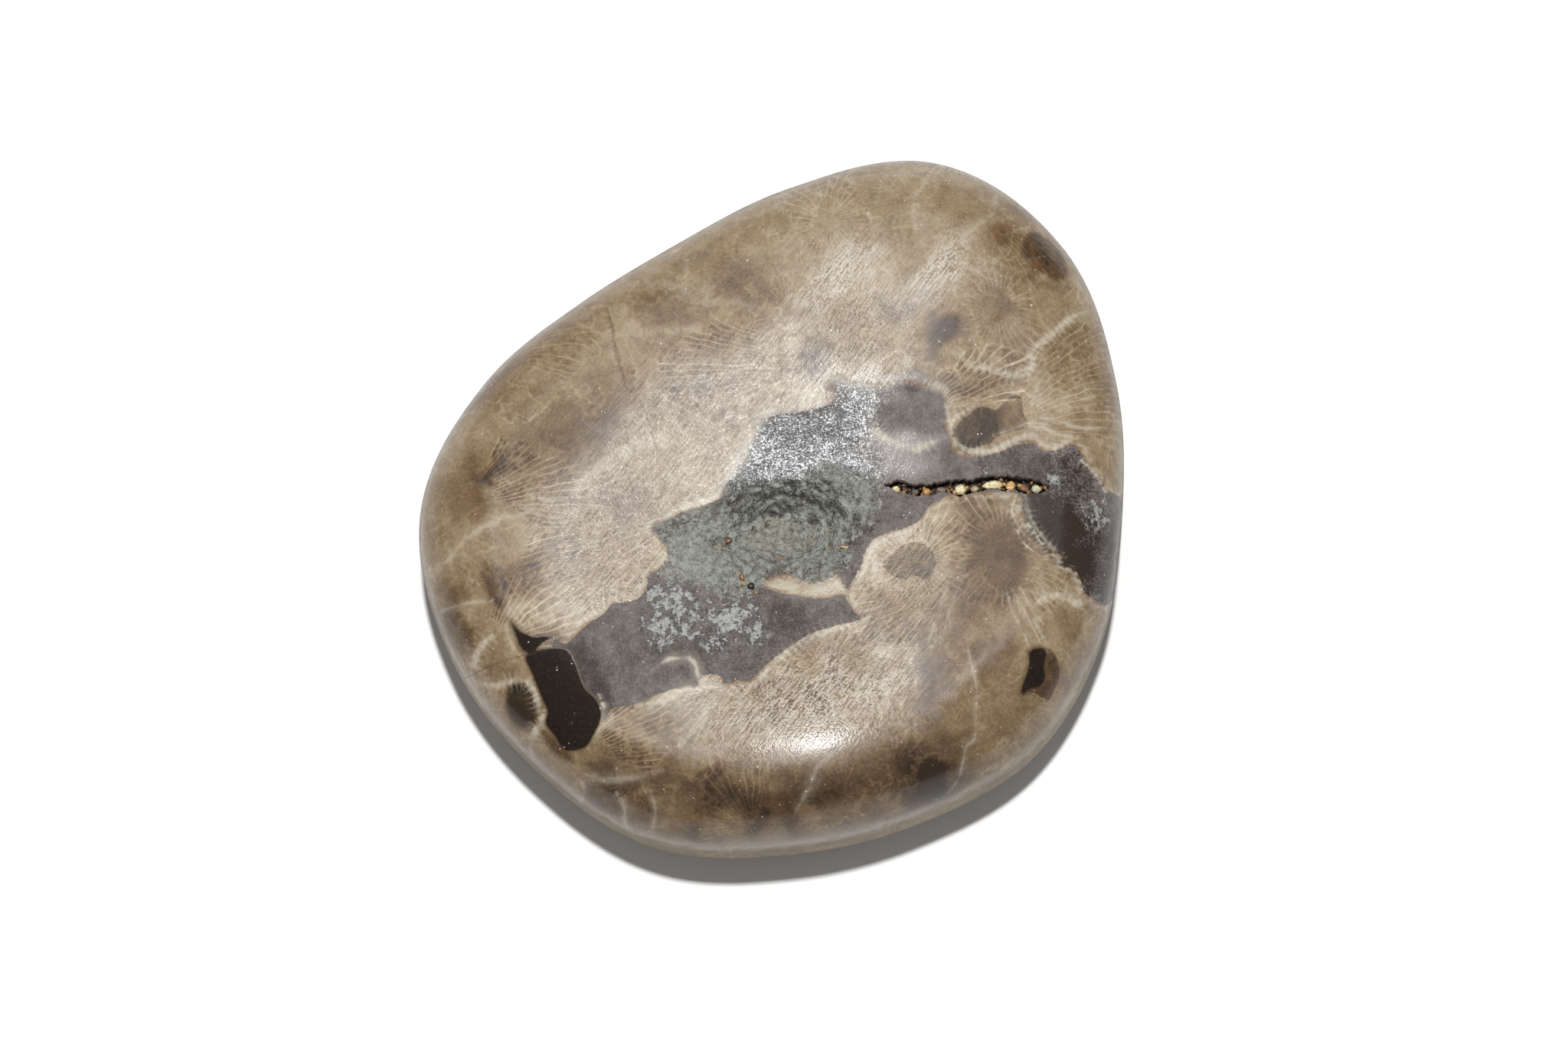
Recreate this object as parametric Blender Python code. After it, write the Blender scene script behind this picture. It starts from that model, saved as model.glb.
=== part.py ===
"""Polished Petoskey stone: a palm-sized beach pebble of fossil coral.

The pebble is one solid. Its top is gently dished around a rough pit, a crack runs from the pit
towards the right-hand edge, and loose grains of grit are lodged in the crack.

Metres, +Z up. The origin is the middle of the small flat spot that the pebble rests on. Looking
straight down with +Y away from the viewer, its broad shoulder is at the upper right.
"""
import math

import bmesh
import bpy
from mathutils import Matrix, Vector, noise

MM = 0.001

# All driving dimensions are in millimetres.

# The outline: distance from the origin to the widest line, every 22.5 degrees from +X towards +Y
EDGE_RADII = (33.5, 35.7, 39.1, 39.4, 34.1, 30.6, 30.9, 34.3,
              37.8, 37.5, 36.6, 36.4, 34.2, 33.6, 34.5, 33.9)

# The side profile: a rounded crown above the widest line and a rounded base below it
EDGE_HEIGHT = 8.0
EDGE_WANDER = 0.9
EDGE_WANDER_TURN = 0.6
CROWN_HEIGHT = 13.6
CROWN_SQUARENESS = 3.5
BASE_SQUARENESS = 2.3
REST_CUT = 0.12
FORWARD_LEAN = 0.06

# The dish worn in the top, and the low swells round it: x, y, reach, height
TOP_SWELLS = (
    (-3.0, -1.0, 33.0, -3.0),
    (4.0, -32.0, 18.0, 2.5),
    (-20.0, 12.0, 16.0, 0.3),
    (14.0, 29.0, 18.0, 1.6),
    (22.0, -10.0, 14.0, 0.3),
)
BROAD_WAVE = 22.0
BROAD_WAVE_HEIGHT = 0.3

# The rough pit: a bowl whose far wall is the steeper one, in a crust of small lumps
PIT_CENTRE = (-0.8, -3.0)
PIT_HALF_SIZE = (8.6, 6.6)
PIT_DEPTH = 2.7
PIT_WALL = 0.95
PIT_FAR_WALL_STEEPNESS = 0.32
PIT_WANDER = 0.08
PIT_WANDER_SIZE = 3.0
CRUST_HALF_SIZE = (11.0, 8.0)
CRUST_LUMP = 1.3
CRUST_LUMP_HEIGHT = 0.13
CRUST_FADE = 2.5

# The crack: x, y and half width at each station, from the pit's side to the right
CRACK_STATIONS = (
    (9.2, 1.5, 0.15), (10.2, 1.35, 0.70), (11.4, 1.2, 0.75), (12.5, 0.85, 0.68),
    (13.9, 0.95, 0.75), (15.6, 1.25, 0.85), (17.0, 1.1, 0.92), (18.3, 1.3, 0.80),
    (19.9, 1.55, 0.85), (21.6, 1.55, 0.92), (23.4, 1.3, 0.98), (24.7, 1.2, 0.88),
    (25.8, 1.25, 0.20),
)
CRACK_STEPS = 3
CRACK_DEPTH = 2.0
CRACK_FLOOR_SHARE = 0.75
CRACK_JAG = 0.10
CRACK_JAGS_PER_MM = 2.3
CRACK_OVERCUT = 1.0

# Grit in the crack: name, x, y, half sizes along, across and up, turn in degrees, material
GRAINS = (
    ("grain_cream_block", 10.35, 1.15, (0.45, 0.36, 0.36), 8, "cream_grit"),
    ("grain_grey_pebble", 12.30, 0.85, (0.34, 0.30, 0.32), 0, "brown_grit"),
    ("grain_amber", 13.45, 0.85, (0.42, 0.38, 0.36), 30, "amber_grit"),
    ("grain_brown_oval", 14.90, 1.00, (0.50, 0.36, 0.36), -4, "brown_grit"),
    ("grain_cream_pearl", 16.85, 1.05, (0.56, 0.52, 0.52), 0, "cream_grit"),
    ("grain_tan_bead", 18.25, 1.10, (0.38, 0.34, 0.36), 15, "amber_grit"),
    ("grain_cream_arch", 20.05, 1.50, (0.98, 0.42, 0.50), 4, "cream_grit"),
    ("grain_orange_bead", 21.85, 1.40, (0.44, 0.48, 0.46), 0, "amber_grit"),
    ("grain_red_splinter", 23.15, 1.20, (0.52, 0.34, 0.34), -18, "brown_grit"),
    ("grain_pale_bead", 24.45, 1.15, (0.46, 0.40, 0.40), 5, "cream_grit"),
)
GRAIN_SINK = 0.62
GRAIN_LUMP_SHARE = 0.08
GRAIN_LUMPS = 1.7

# Levels of one noise field: each rough form reads its own, so that no two share a pattern
PIT_NOISE_LEVEL = 4.0
CRUST_NOISE_LEVEL = 9.0
CRACK_NOISE_LEVEL = 1.0
NEAR_LIP_NOISE_ROW = 0.0
FAR_LIP_NOISE_ROW = 7.0

# Mesh fineness
STONE_SUBDIVISIONS = 5
EDGE_FINENESS = 0.7
PIT_REFINEMENTS = (1.15, 0.95)
GRAIN_SUBDIVISIONS = 2
SHARP_EDGE = math.radians(40)


def clear_scene():
    for thing in list(bpy.data.objects):
        bpy.data.objects.remove(thing)


def make_material(name, colour, roughness):
    material = bpy.data.materials.new(name)
    material.use_nodes = True
    shader = material.node_tree.nodes["Principled BSDF"]
    shader.inputs["Base Color"].default_value = (*colour, 1.0)
    shader.inputs["Roughness"].default_value = roughness
    shader.inputs["Metallic"].default_value = 0.0
    return material


def add_object(name, bm, material):
    """Turns a mesh in millimetres into a smooth-shaded object in metres."""
    bmesh.ops.scale(bm, vec=(MM, MM, MM), verts=bm.verts)
    bmesh.ops.recalc_face_normals(bm, faces=bm.faces)
    mesh = bpy.data.meshes.new(name)
    bm.to_mesh(mesh)
    bm.free()
    mesh.shade_smooth()
    mesh.set_sharp_from_angle(angle=SHARP_EDGE)
    mesh.materials.append(material)
    thing = bpy.data.objects.new(name, mesh)
    bpy.context.collection.objects.link(thing)
    return thing


def edge_radius(angle):
    """Distance to the widest line at an angle, on a smooth closed curve through EDGE_RADII."""
    count = len(EDGE_RADII)
    place = (angle / math.tau) % 1.0 * count
    step = int(place)
    t = place - step
    before, start, end, after = (EDGE_RADII[(step + k) % count] for k in (-1, 0, 1, 2))
    slope = end - before
    bend = 2.0 * before - 5.0 * start + 4.0 * end - after
    twist = 3.0 * (start - end) + after - before
    return start + 0.5 * t * (slope + t * (bend + t * twist))


def edge_wander(x, y):
    """How far the widest line climbs above its mean height in this direction."""
    angle = math.atan2(y, x)
    return EDGE_WANDER * math.sin(2.0 * angle + EDGE_WANDER_TURN)


def swell(x, y, centre_x, centre_y, reach):
    """A smooth mound: 1 at its centre, falling to 0 at its reach."""
    share = ((x - centre_x) ** 2 + (y - centre_y) ** 2) / reach ** 2
    return (1.0 - share) ** 2 if share < 1.0 else 0.0


def crown_height(x, y):
    """Height of the polished top, before the pit and the crack."""
    reach = min(math.hypot(x, y) / edge_radius(math.atan2(y, x)), 1.0)
    dome = (1.0 - reach ** CROWN_SQUARENESS) ** (1.0 / CROWN_SQUARENESS)
    relief = sum(height * swell(x, y, cx, cy, size) for cx, cy, size, height in TOP_SWELLS)
    wave = noise.noise(Vector((x, y, 0.0)) / BROAD_WAVE) * BROAD_WAVE_HEIGHT
    crown = CROWN_HEIGHT - FORWARD_LEAN * y + relief + wave
    return EDGE_HEIGHT + dome * crown + (1.0 - dome) * edge_wander(x, y)


def smooth_step(value):
    value = min(max(value, 0.0), 1.0)
    return value * value * (3.0 - 2.0 * value)


def share_of_ellipse(x, y, half_size):
    """Distance from the pit's centre: 1 on the edge of an ellipse of this half size."""
    return math.hypot((x - PIT_CENTRE[0]) / half_size[0], (y - PIT_CENTRE[1]) / half_size[1])


def pit_drop(x, y):
    """How far the pit's bowl lies below the polished top."""
    wander = PIT_WANDER * noise.noise(Vector((x, y, PIT_NOISE_LEVEL)) / PIT_WANDER_SIZE)
    inside = 1.0 - share_of_ellipse(x, y, PIT_HALF_SIZE) + wander
    northing = (y - PIT_CENTRE[1]) / PIT_HALF_SIZE[1]
    wall = PIT_WALL - PIT_FAR_WALL_STEEPNESS * min(max(northing, -1.0), 1.0)
    return PIT_DEPTH * smooth_step(inside / wall)


def crust_lumps(x, y):
    """Small lumps in and around the pit."""
    fade = smooth_step(CRUST_FADE * (1.0 - share_of_ellipse(x, y, CRUST_HALF_SIZE)))
    return CRUST_LUMP_HEIGHT * fade * noise.noise(Vector((x, y, CRUST_NOISE_LEVEL)) / CRUST_LUMP)


def top_height(x, y):
    return crown_height(x, y) - pit_drop(x, y) + crust_lumps(x, y)


def point_on_stone(direction):
    """The point of the stone's surface in this direction from its middle."""
    x, y, z = direction
    z *= EDGE_FINENESS
    crown = z >= 0.0
    squareness = CROWN_SQUARENESS if crown else BASE_SQUARENESS
    half_height = CROWN_HEIGHT if crown else EDGE_HEIGHT + REST_CUT
    across = math.hypot(x, y) / edge_radius(math.atan2(y, x))
    up = abs(z) / half_height
    scale = (across ** squareness + up ** squareness) ** (-1.0 / squareness)
    x, y, up = x * scale, y * scale, up * scale
    base = EDGE_HEIGHT - half_height * up + (1.0 - up) * edge_wander(x, y)
    return Vector((x, y, top_height(x, y) if crown else base))


def refine_pit(bm, size):
    """Splits each face whose middle lies over the pit, and keeps the mesh on a unit sphere."""
    chosen = []
    for face in bm.faces:
        middle = face.calc_center_median()
        if middle.z > 0.0:
            spot = point_on_stone(middle)
            if share_of_ellipse(spot.x, spot.y, PIT_HALF_SIZE) < size:
                chosen.append(face)
    edges = {edge for face in chosen for edge in face.edges}
    bmesh.ops.subdivide_edges(bm, edges=list(edges), cuts=1, use_grid_fill=True)
    bmesh.ops.triangulate(bm, faces=[face for face in bm.faces if len(face.verts) > 3])
    for vert in bm.verts:
        vert.co.normalize()


def cut_rest_spot(bm):
    """Cuts the rounded base off flat at the surface it rests on."""
    whole = bm.verts[:] + bm.edges[:] + bm.faces[:]
    cut = bmesh.ops.bisect_plane(
        bm, geom=whole, plane_co=(0.0, 0.0, 0.0), plane_no=(0.0, 0.0, -1.0), clear_outer=True
    )
    rim = [part for part in cut["geom_cut"] if isinstance(part, bmesh.types.BMEdge)]
    bmesh.ops.contextual_create(bm, geom=rim)


def crack_course():
    """The crack's stations, with evenly spaced ones added between them."""
    course = []
    for (x0, y0, w0), (x1, y1, w1) in zip(CRACK_STATIONS, CRACK_STATIONS[1:]):
        for step in range(CRACK_STEPS):
            t = step / CRACK_STEPS
            course.append((x0 + t * (x1 - x0), y0 + t * (y1 - y0), w0 + t * (w1 - w0)))
    course.append(CRACK_STATIONS[-1])
    return course


def lip_jag(x, row):
    """How far one ragged lip of the crack wanders sideways at this place along it."""
    return CRACK_JAG * noise.noise(Vector((CRACK_JAGS_PER_MM * x, row, CRACK_NOISE_LEVEL)))


def crack_cutter(material):
    """The solid that cuts the crack: each ring is near lip, far lip, far floor, near floor."""
    bm = bmesh.new()
    rings = []
    for x, y, half_width in crack_course():
        near = y - half_width + lip_jag(x, NEAR_LIP_NOISE_ROW)
        far = y + half_width + lip_jag(x, FAR_LIP_NOISE_ROW)
        level = crown_height(x, y)
        middle = 0.5 * (near + far)
        inset = CRACK_FLOOR_SHARE * 0.5 * (far - near)
        corners = (
            (near, level + CRACK_OVERCUT),
            (far, level + CRACK_OVERCUT),
            (middle + inset, level - CRACK_DEPTH),
            (middle - inset, level - CRACK_DEPTH),
        )
        rings.append([bm.verts.new((x, side, height)) for side, height in corners])
    for ring, following in zip(rings, rings[1:]):
        for a in range(4):
            b = (a + 1) % 4
            bm.faces.new((ring[a], ring[b], following[b], following[a]))
    bm.faces.new(rings[0][::-1])
    bm.faces.new(rings[-1])
    cutter = add_object("crack_cutter", bm, material)
    cutter.hide_render = True
    cutter.display_type = "WIRE"
    return cutter


def make_stone(material):
    bm = bmesh.new()
    bmesh.ops.create_icosphere(bm, subdivisions=STONE_SUBDIVISIONS, radius=1.0)
    for size in PIT_REFINEMENTS:
        refine_pit(bm, size)
    for vert in bm.verts:
        vert.co = point_on_stone(vert.co)
    cut_rest_spot(bm)
    stone = add_object("petoskey_stone", bm, material)
    crack = stone.modifiers.new("crack", "BOOLEAN")
    crack.operation = "DIFFERENCE"
    crack.object = crack_cutter(material)
    return stone


def make_grain(name, x, y, half_size, turn, material):
    """A lumpy grain, sunk a little below the lips of the crack."""
    bm = bmesh.new()
    bmesh.ops.create_icosphere(bm, subdivisions=GRAIN_SUBDIVISIONS, radius=1.0)
    for vert in bm.verts:
        vert.co *= 1.0 + GRAIN_LUMP_SHARE * noise.noise(GRAIN_LUMPS * vert.co + Vector((x, y, 0.0)))
        vert.co = Vector(a * b for a, b in zip(vert.co, half_size))
    place = Vector((x, y, crown_height(x, y) - GRAIN_SINK))
    turned = Matrix.Rotation(math.radians(turn), 4, "Z")
    bmesh.ops.transform(bm, matrix=Matrix.Translation(place) @ turned, verts=bm.verts)
    return add_object(name, bm, material)


def main():
    clear_scene()
    coral = make_material("coral_stone", (0.28, 0.225, 0.16), 0.25)
    grit = {
        "cream_grit": make_material("cream_grit", (0.62, 0.55, 0.36), 0.5),
        "amber_grit": make_material("amber_grit", (0.42, 0.24, 0.09), 0.45),
        "brown_grit": make_material("brown_grit", (0.12, 0.08, 0.05), 0.5),
    }
    make_stone(coral)
    for name, x, y, half_size, turn, kind in GRAINS:
        make_grain(name, x, y, half_size, turn, grit[kind])


main()
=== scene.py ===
"""Polished Petoskey stone: the finish of its surface, and the light, floor and camera round it.

The pebble is one piece of fossil coral. coral_skin is its whole outside, worked much finer than the
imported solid, and the ten grains of grit in its crack are finer copies of theirs.

Lengths are in millimetres until a mesh is finished, turns in degrees. Pixels are those of the photo.
"""
import math
import random

import bmesh
import bpy
import numpy as np
from mathutils import Matrix, Vector, noise
from mathutils.bvhtree import BVHTree


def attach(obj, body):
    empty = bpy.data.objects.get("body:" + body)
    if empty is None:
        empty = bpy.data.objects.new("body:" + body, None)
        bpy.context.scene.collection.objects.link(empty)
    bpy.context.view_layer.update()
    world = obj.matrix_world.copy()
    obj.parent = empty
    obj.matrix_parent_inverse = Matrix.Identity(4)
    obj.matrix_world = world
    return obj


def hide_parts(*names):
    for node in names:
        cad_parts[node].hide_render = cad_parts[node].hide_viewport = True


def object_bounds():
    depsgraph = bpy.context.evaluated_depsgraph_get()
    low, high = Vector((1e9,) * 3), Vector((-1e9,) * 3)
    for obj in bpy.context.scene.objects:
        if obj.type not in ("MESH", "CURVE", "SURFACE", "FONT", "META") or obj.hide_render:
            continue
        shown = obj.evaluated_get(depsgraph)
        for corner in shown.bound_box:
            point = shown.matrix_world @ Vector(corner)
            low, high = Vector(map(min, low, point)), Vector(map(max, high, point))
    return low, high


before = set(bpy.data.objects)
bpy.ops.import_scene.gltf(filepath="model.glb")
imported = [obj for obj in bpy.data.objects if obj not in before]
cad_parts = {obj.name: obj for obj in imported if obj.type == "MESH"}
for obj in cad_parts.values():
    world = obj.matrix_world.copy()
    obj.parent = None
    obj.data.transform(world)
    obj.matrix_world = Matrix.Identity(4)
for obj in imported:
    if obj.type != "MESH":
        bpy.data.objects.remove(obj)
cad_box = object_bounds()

MM = 0.001
SEED = 11
noise.seed_set(SEED)

# The stone's form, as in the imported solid
EDGE_RADII = (
    33.5, 35.7, 39.1, 39.4, 34.1, 30.6, 30.9, 34.3, 37.8, 37.5, 36.6, 36.4, 34.2, 33.6, 34.5, 33.9
)
EDGE_HEIGHT = 8.0
EDGE_WANDER = 0.9
EDGE_WANDER_TURN = 0.6
EDGE_FINENESS = 0.7
CROWN_HEIGHT = 13.6
CROWN_SQUARENESS = 3.5
BASE_SQUARENESS = 2.3
REST_CUT = 0.12
FORWARD_LEAN = 0.06
TOP_SWELLS = (
    (-3.0, -1.0, 33.0, -3.0), (4.0, -32.0, 18.0, 2.5), (-20.0, 12.0, 16.0, 0.3), (14.0, 29.0, 18.0, 1.6),
    (22.0, -10.0, 14.0, 0.3),
)
BROAD_WAVE = 22.0
BROAD_WAVE_HEIGHT = 0.3
PIT_CENTRE = (-0.8, -3.0)
PIT_HALF_SIZE = (8.6, 6.6)
PIT_DEPTH = 2.7
PIT_WALL = 0.95
PIT_FAR_WALL_STEEPNESS = 0.32
PIT_WANDER = 0.08
PIT_WANDER_SIZE = 3.0
PIT_NOISE_LEVEL = 4.0

# The crack's course from left to right: x, y of its middle, half its width
CRACK_STATIONS = (
    (9.2, 1.5, 0.15), (10.2, 1.35, 0.70), (11.4, 1.2, 0.75), (12.5, 0.85, 0.68), (13.9, 0.95, 0.75),
    (15.6, 1.25, 0.85), (17.0, 1.1, 0.92), (18.3, 1.3, 0.80), (19.9, 1.55, 0.85), (21.6, 1.55, 0.92),
    (23.4, 1.3, 0.98), (24.7, 1.2, 0.88), (25.8, 1.25, 0.20),
)
CRACK_JAG = 0.10
CRACK_JAGS_PER_MM = 2.3
CRACK_NOISE_LEVEL = 1.0
LIP_NOISE_ROWS = (0.0, 7.0)

# The finer relief of the skin
CRACK_DEPTH = 2.0
CRACK_WALL = 0.22
CRACK_DRAWN_IN = 0.06
NEAR_LIP_RAISED = 0.26
RIPPLE_HEIGHT = 0.26
LUMP_SIZE = 0.95
LUMP_HEIGHT = 0.26
FINE_LUMP_SIZE = 0.45
FINE_LUMP_HEIGHT = 0.14
RESIDUE_HEIGHT = 0.05

# The skin's mesh: the longest edge allowed in each region
SKIN_SUBDIVISIONS = 7
SKIN_TOP_SHARE = 0.2
SKIN_PASSES = 4
TOP_EDGE = 0.46
SIDE_EDGE = 0.92
PIT_EDGE = 0.25
CRACK_EDGE = 0.13
TOP_ABOVE = 12.0
PIT_REACH = 1.25
CRACK_MARGIN = 0.4

# The camera of the photo; the size of a pixel is that at the height of the widest line
PHOTO_SIZE = (2048, 1365)
MM_PER_PIXEL = 0.0780
CAMERA_TARGET = Vector((-0.85, -0.25, 8.0))
CAMERA_ELEVATION = math.radians(80)
CAMERA_BACK = Vector((0.0, -math.cos(CAMERA_ELEVATION), math.sin(CAMERA_ELEVATION)))
CAMERA_DISTANCE = 700.0
SENSOR_WIDTH = 36.0

# Light: a room that is brightest overhead, and one soft lamp beyond the stone, high up; in metres
ROOM_AT_HORIZON = 0.20
ROOM_OVERHEAD = 0.38
LAMP_ELEVATION = math.radians(83)
LAMP_DISTANCE = 1.5
LAMP_SIZE = 0.06
LAMP_POWER = 25.5
FLOOR_SIZE = 3.0
PAPER_WHITES = ((0.735, 0.735, 0.735), (0.755, 0.755, 0.755))

# Grit in the crack: name, x, y, half sizes along, across and up, turn, slot, look
GRAINS = (
    ("grain_cream_block", 10.35, 1.15, (0.45, 0.36, 0.36), 8, "cream_grit", "block"),
    ("grain_grey_pebble", 12.30, 0.85, (0.34, 0.30, 0.32), 0, "brown_grit", "grey"),
    ("grain_amber", 13.45, 0.85, (0.42, 0.38, 0.36), 30, "amber_grit", "amber"),
    ("grain_brown_oval", 14.90, 1.00, (0.50, 0.36, 0.36), -4, "brown_grit", "brown"),
    ("grain_cream_pearl", 16.85, 1.05, (0.56, 0.52, 0.52), 0, "cream_grit", "cream"),
    ("grain_tan_bead", 18.25, 1.10, (0.38, 0.34, 0.36), 15, "amber_grit", "tan"),
    ("grain_cream_arch", 20.05, 1.50, (0.98, 0.42, 0.50), 4, "cream_grit", "cream"),
    ("grain_orange_bead", 21.85, 1.40, (0.44, 0.48, 0.46), 0, "amber_grit", "orange"),
    ("grain_red_splinter", 23.15, 1.20, (0.52, 0.34, 0.34), -18, "brown_grit", "splinter"),
    ("grain_pale_bead", 24.45, 1.15, (0.46, 0.40, 0.40), 5, "cream_grit", "greenish"),
)
GRAIN_SINK = 0.62
GRAIN_SUBDIVISIONS = 5
GRAIN_LUMPS = 1.7
CRUMB_COUNT = 130
SPECK_LIFT = 0.10

# Colours of the grit: dark, light
GRIT_COLOURS = {
    "cream": ((0.33, 0.24, 0.10), (0.74, 0.66, 0.42)),
    "greenish": ((0.16, 0.15, 0.09), (0.55, 0.53, 0.36)),
    "block": ((0.16, 0.10, 0.04), (0.72, 0.62, 0.36)),
    "tan": ((0.16, 0.11, 0.06), (0.42, 0.33, 0.20)),
    "amber": ((0.10, 0.045, 0.014), (0.46, 0.25, 0.08)),
    "orange": ((0.26, 0.12, 0.035), (0.72, 0.46, 0.20)),
    "brown": ((0.045, 0.028, 0.020), (0.20, 0.15, 0.11)),
    "splinter": ((0.035, 0.015, 0.010), (0.22, 0.10, 0.06)),
    "grey": ((0.030, 0.028, 0.026), (0.13, 0.125, 0.12)),
}

# Colours of the smallest bits, from black through rust and amber to cream
BIT_COLOURS = (
    (0.00, (0.012, 0.009, 0.007)), (0.30, (0.060, 0.032, 0.018)), (0.50, (0.170, 0.075, 0.022)),
    (0.70, (0.380, 0.230, 0.070)), (0.85, (0.300, 0.235, 0.160)), (1.00, (0.620, 0.540, 0.340)),
)

# The coral's palette, from its darkest brown to its palest cream
CORAL_TONES = (
    (0.00, (0.028, 0.017, 0.009)), (0.20, (0.088, 0.054, 0.028)), (0.38, (0.165, 0.110, 0.060)),
    (0.52, (0.240, 0.176, 0.104)), (0.72, (0.345, 0.282, 0.195)), (1.00, (0.500, 0.455, 0.370)),
)
CREAM = (0.47, 0.43, 0.345)
GREY_MUD = (0.118, 0.099, 0.090)
DARK_MUD = (0.026, 0.017, 0.012)
PALE_MUD = (0.215, 0.195, 0.190)
CRUST_GREEN = (0.175, 0.176, 0.150)
CRUST_DARK = (0.050, 0.048, 0.043)
CRUST_LIGHT = (0.285, 0.288, 0.262)
CRUST_STAIN = (0.30, 0.22, 0.13)
RESIDUE_GREY = (0.345, 0.350, 0.335)
RESIDUE_DARK = (0.165, 0.165, 0.155)
SILVER_DARK = (0.060, 0.061, 0.060)
SILVER_GREY = (0.225, 0.230, 0.230)
SILVER_GLINT_WHITE = (0.80, 0.80, 0.80)
INK = (0.010, 0.0055, 0.003)
INK_BROWN = (0.026, 0.014, 0.007)
INK_EDGE = (0.085, 0.050, 0.022)
RUST = (0.150, 0.068, 0.022)
# Painted sheen and painted glints, laid into the colour of the polish in the dish and on the crest
SHEEN_FROST_WHITE = (0.440, 0.420, 0.405)
GLINT_WHITE = (0.600, 0.575, 0.545)
VIOLET = (0.125, 0.100, 0.098)
HAIRLINE_BROWN = (0.070, 0.042, 0.026)
# The crack's inside: near-black painted shade and brown mud
CRACK_SHADOW_DARK = (0.016, 0.012, 0.009)
CRACK_BROWN = (0.085, 0.055, 0.035)
SPECK_WHITE = (0.70, 0.69, 0.66)

# How rough or glossy each surface is
SIDE_ROUGHNESS = 0.60
CRUST_ROUGHNESS = 0.8
RESIDUE_ROUGHNESS = 0.75
CRYSTAL_ROUGHNESS = 0.45
STONE_IOR = 1.45

# The coral's own pattern
PLATE_SWAY = 0.9
RUNG_SPACING = 0.95
TOOTH_SPACING = 0.66
LAYER_COUNT = 11.0
TONE_RUN = 0.9
MIN_CELL_REACH = 3.6
UNSEEN_CELL_SPACING = 8.6
UNSEEN_CELL_TRIES = 6000
UNSEEN_KINDS = ("rosette", "olive", "brown", "tan", "big", "rosette", "olive", "faint_fan", "eye")
LOOK_NAMES = ("plates", "core", "core_radius", "wall", "plate_count")

# The chart: the height below which the side counts in it, how far a mark is looked for, and how far
# soft marks drift about
CHART_SHOULDER = 15.5
FAR = 9.0
PATH_STEPS = 4
SEAM_REACH = 4.0
SEAM_MARGIN = 3.6
CRISP_EDGE = 0.7
DRIFT = 2.0
DRIFT_SIZE = 2.6
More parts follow.
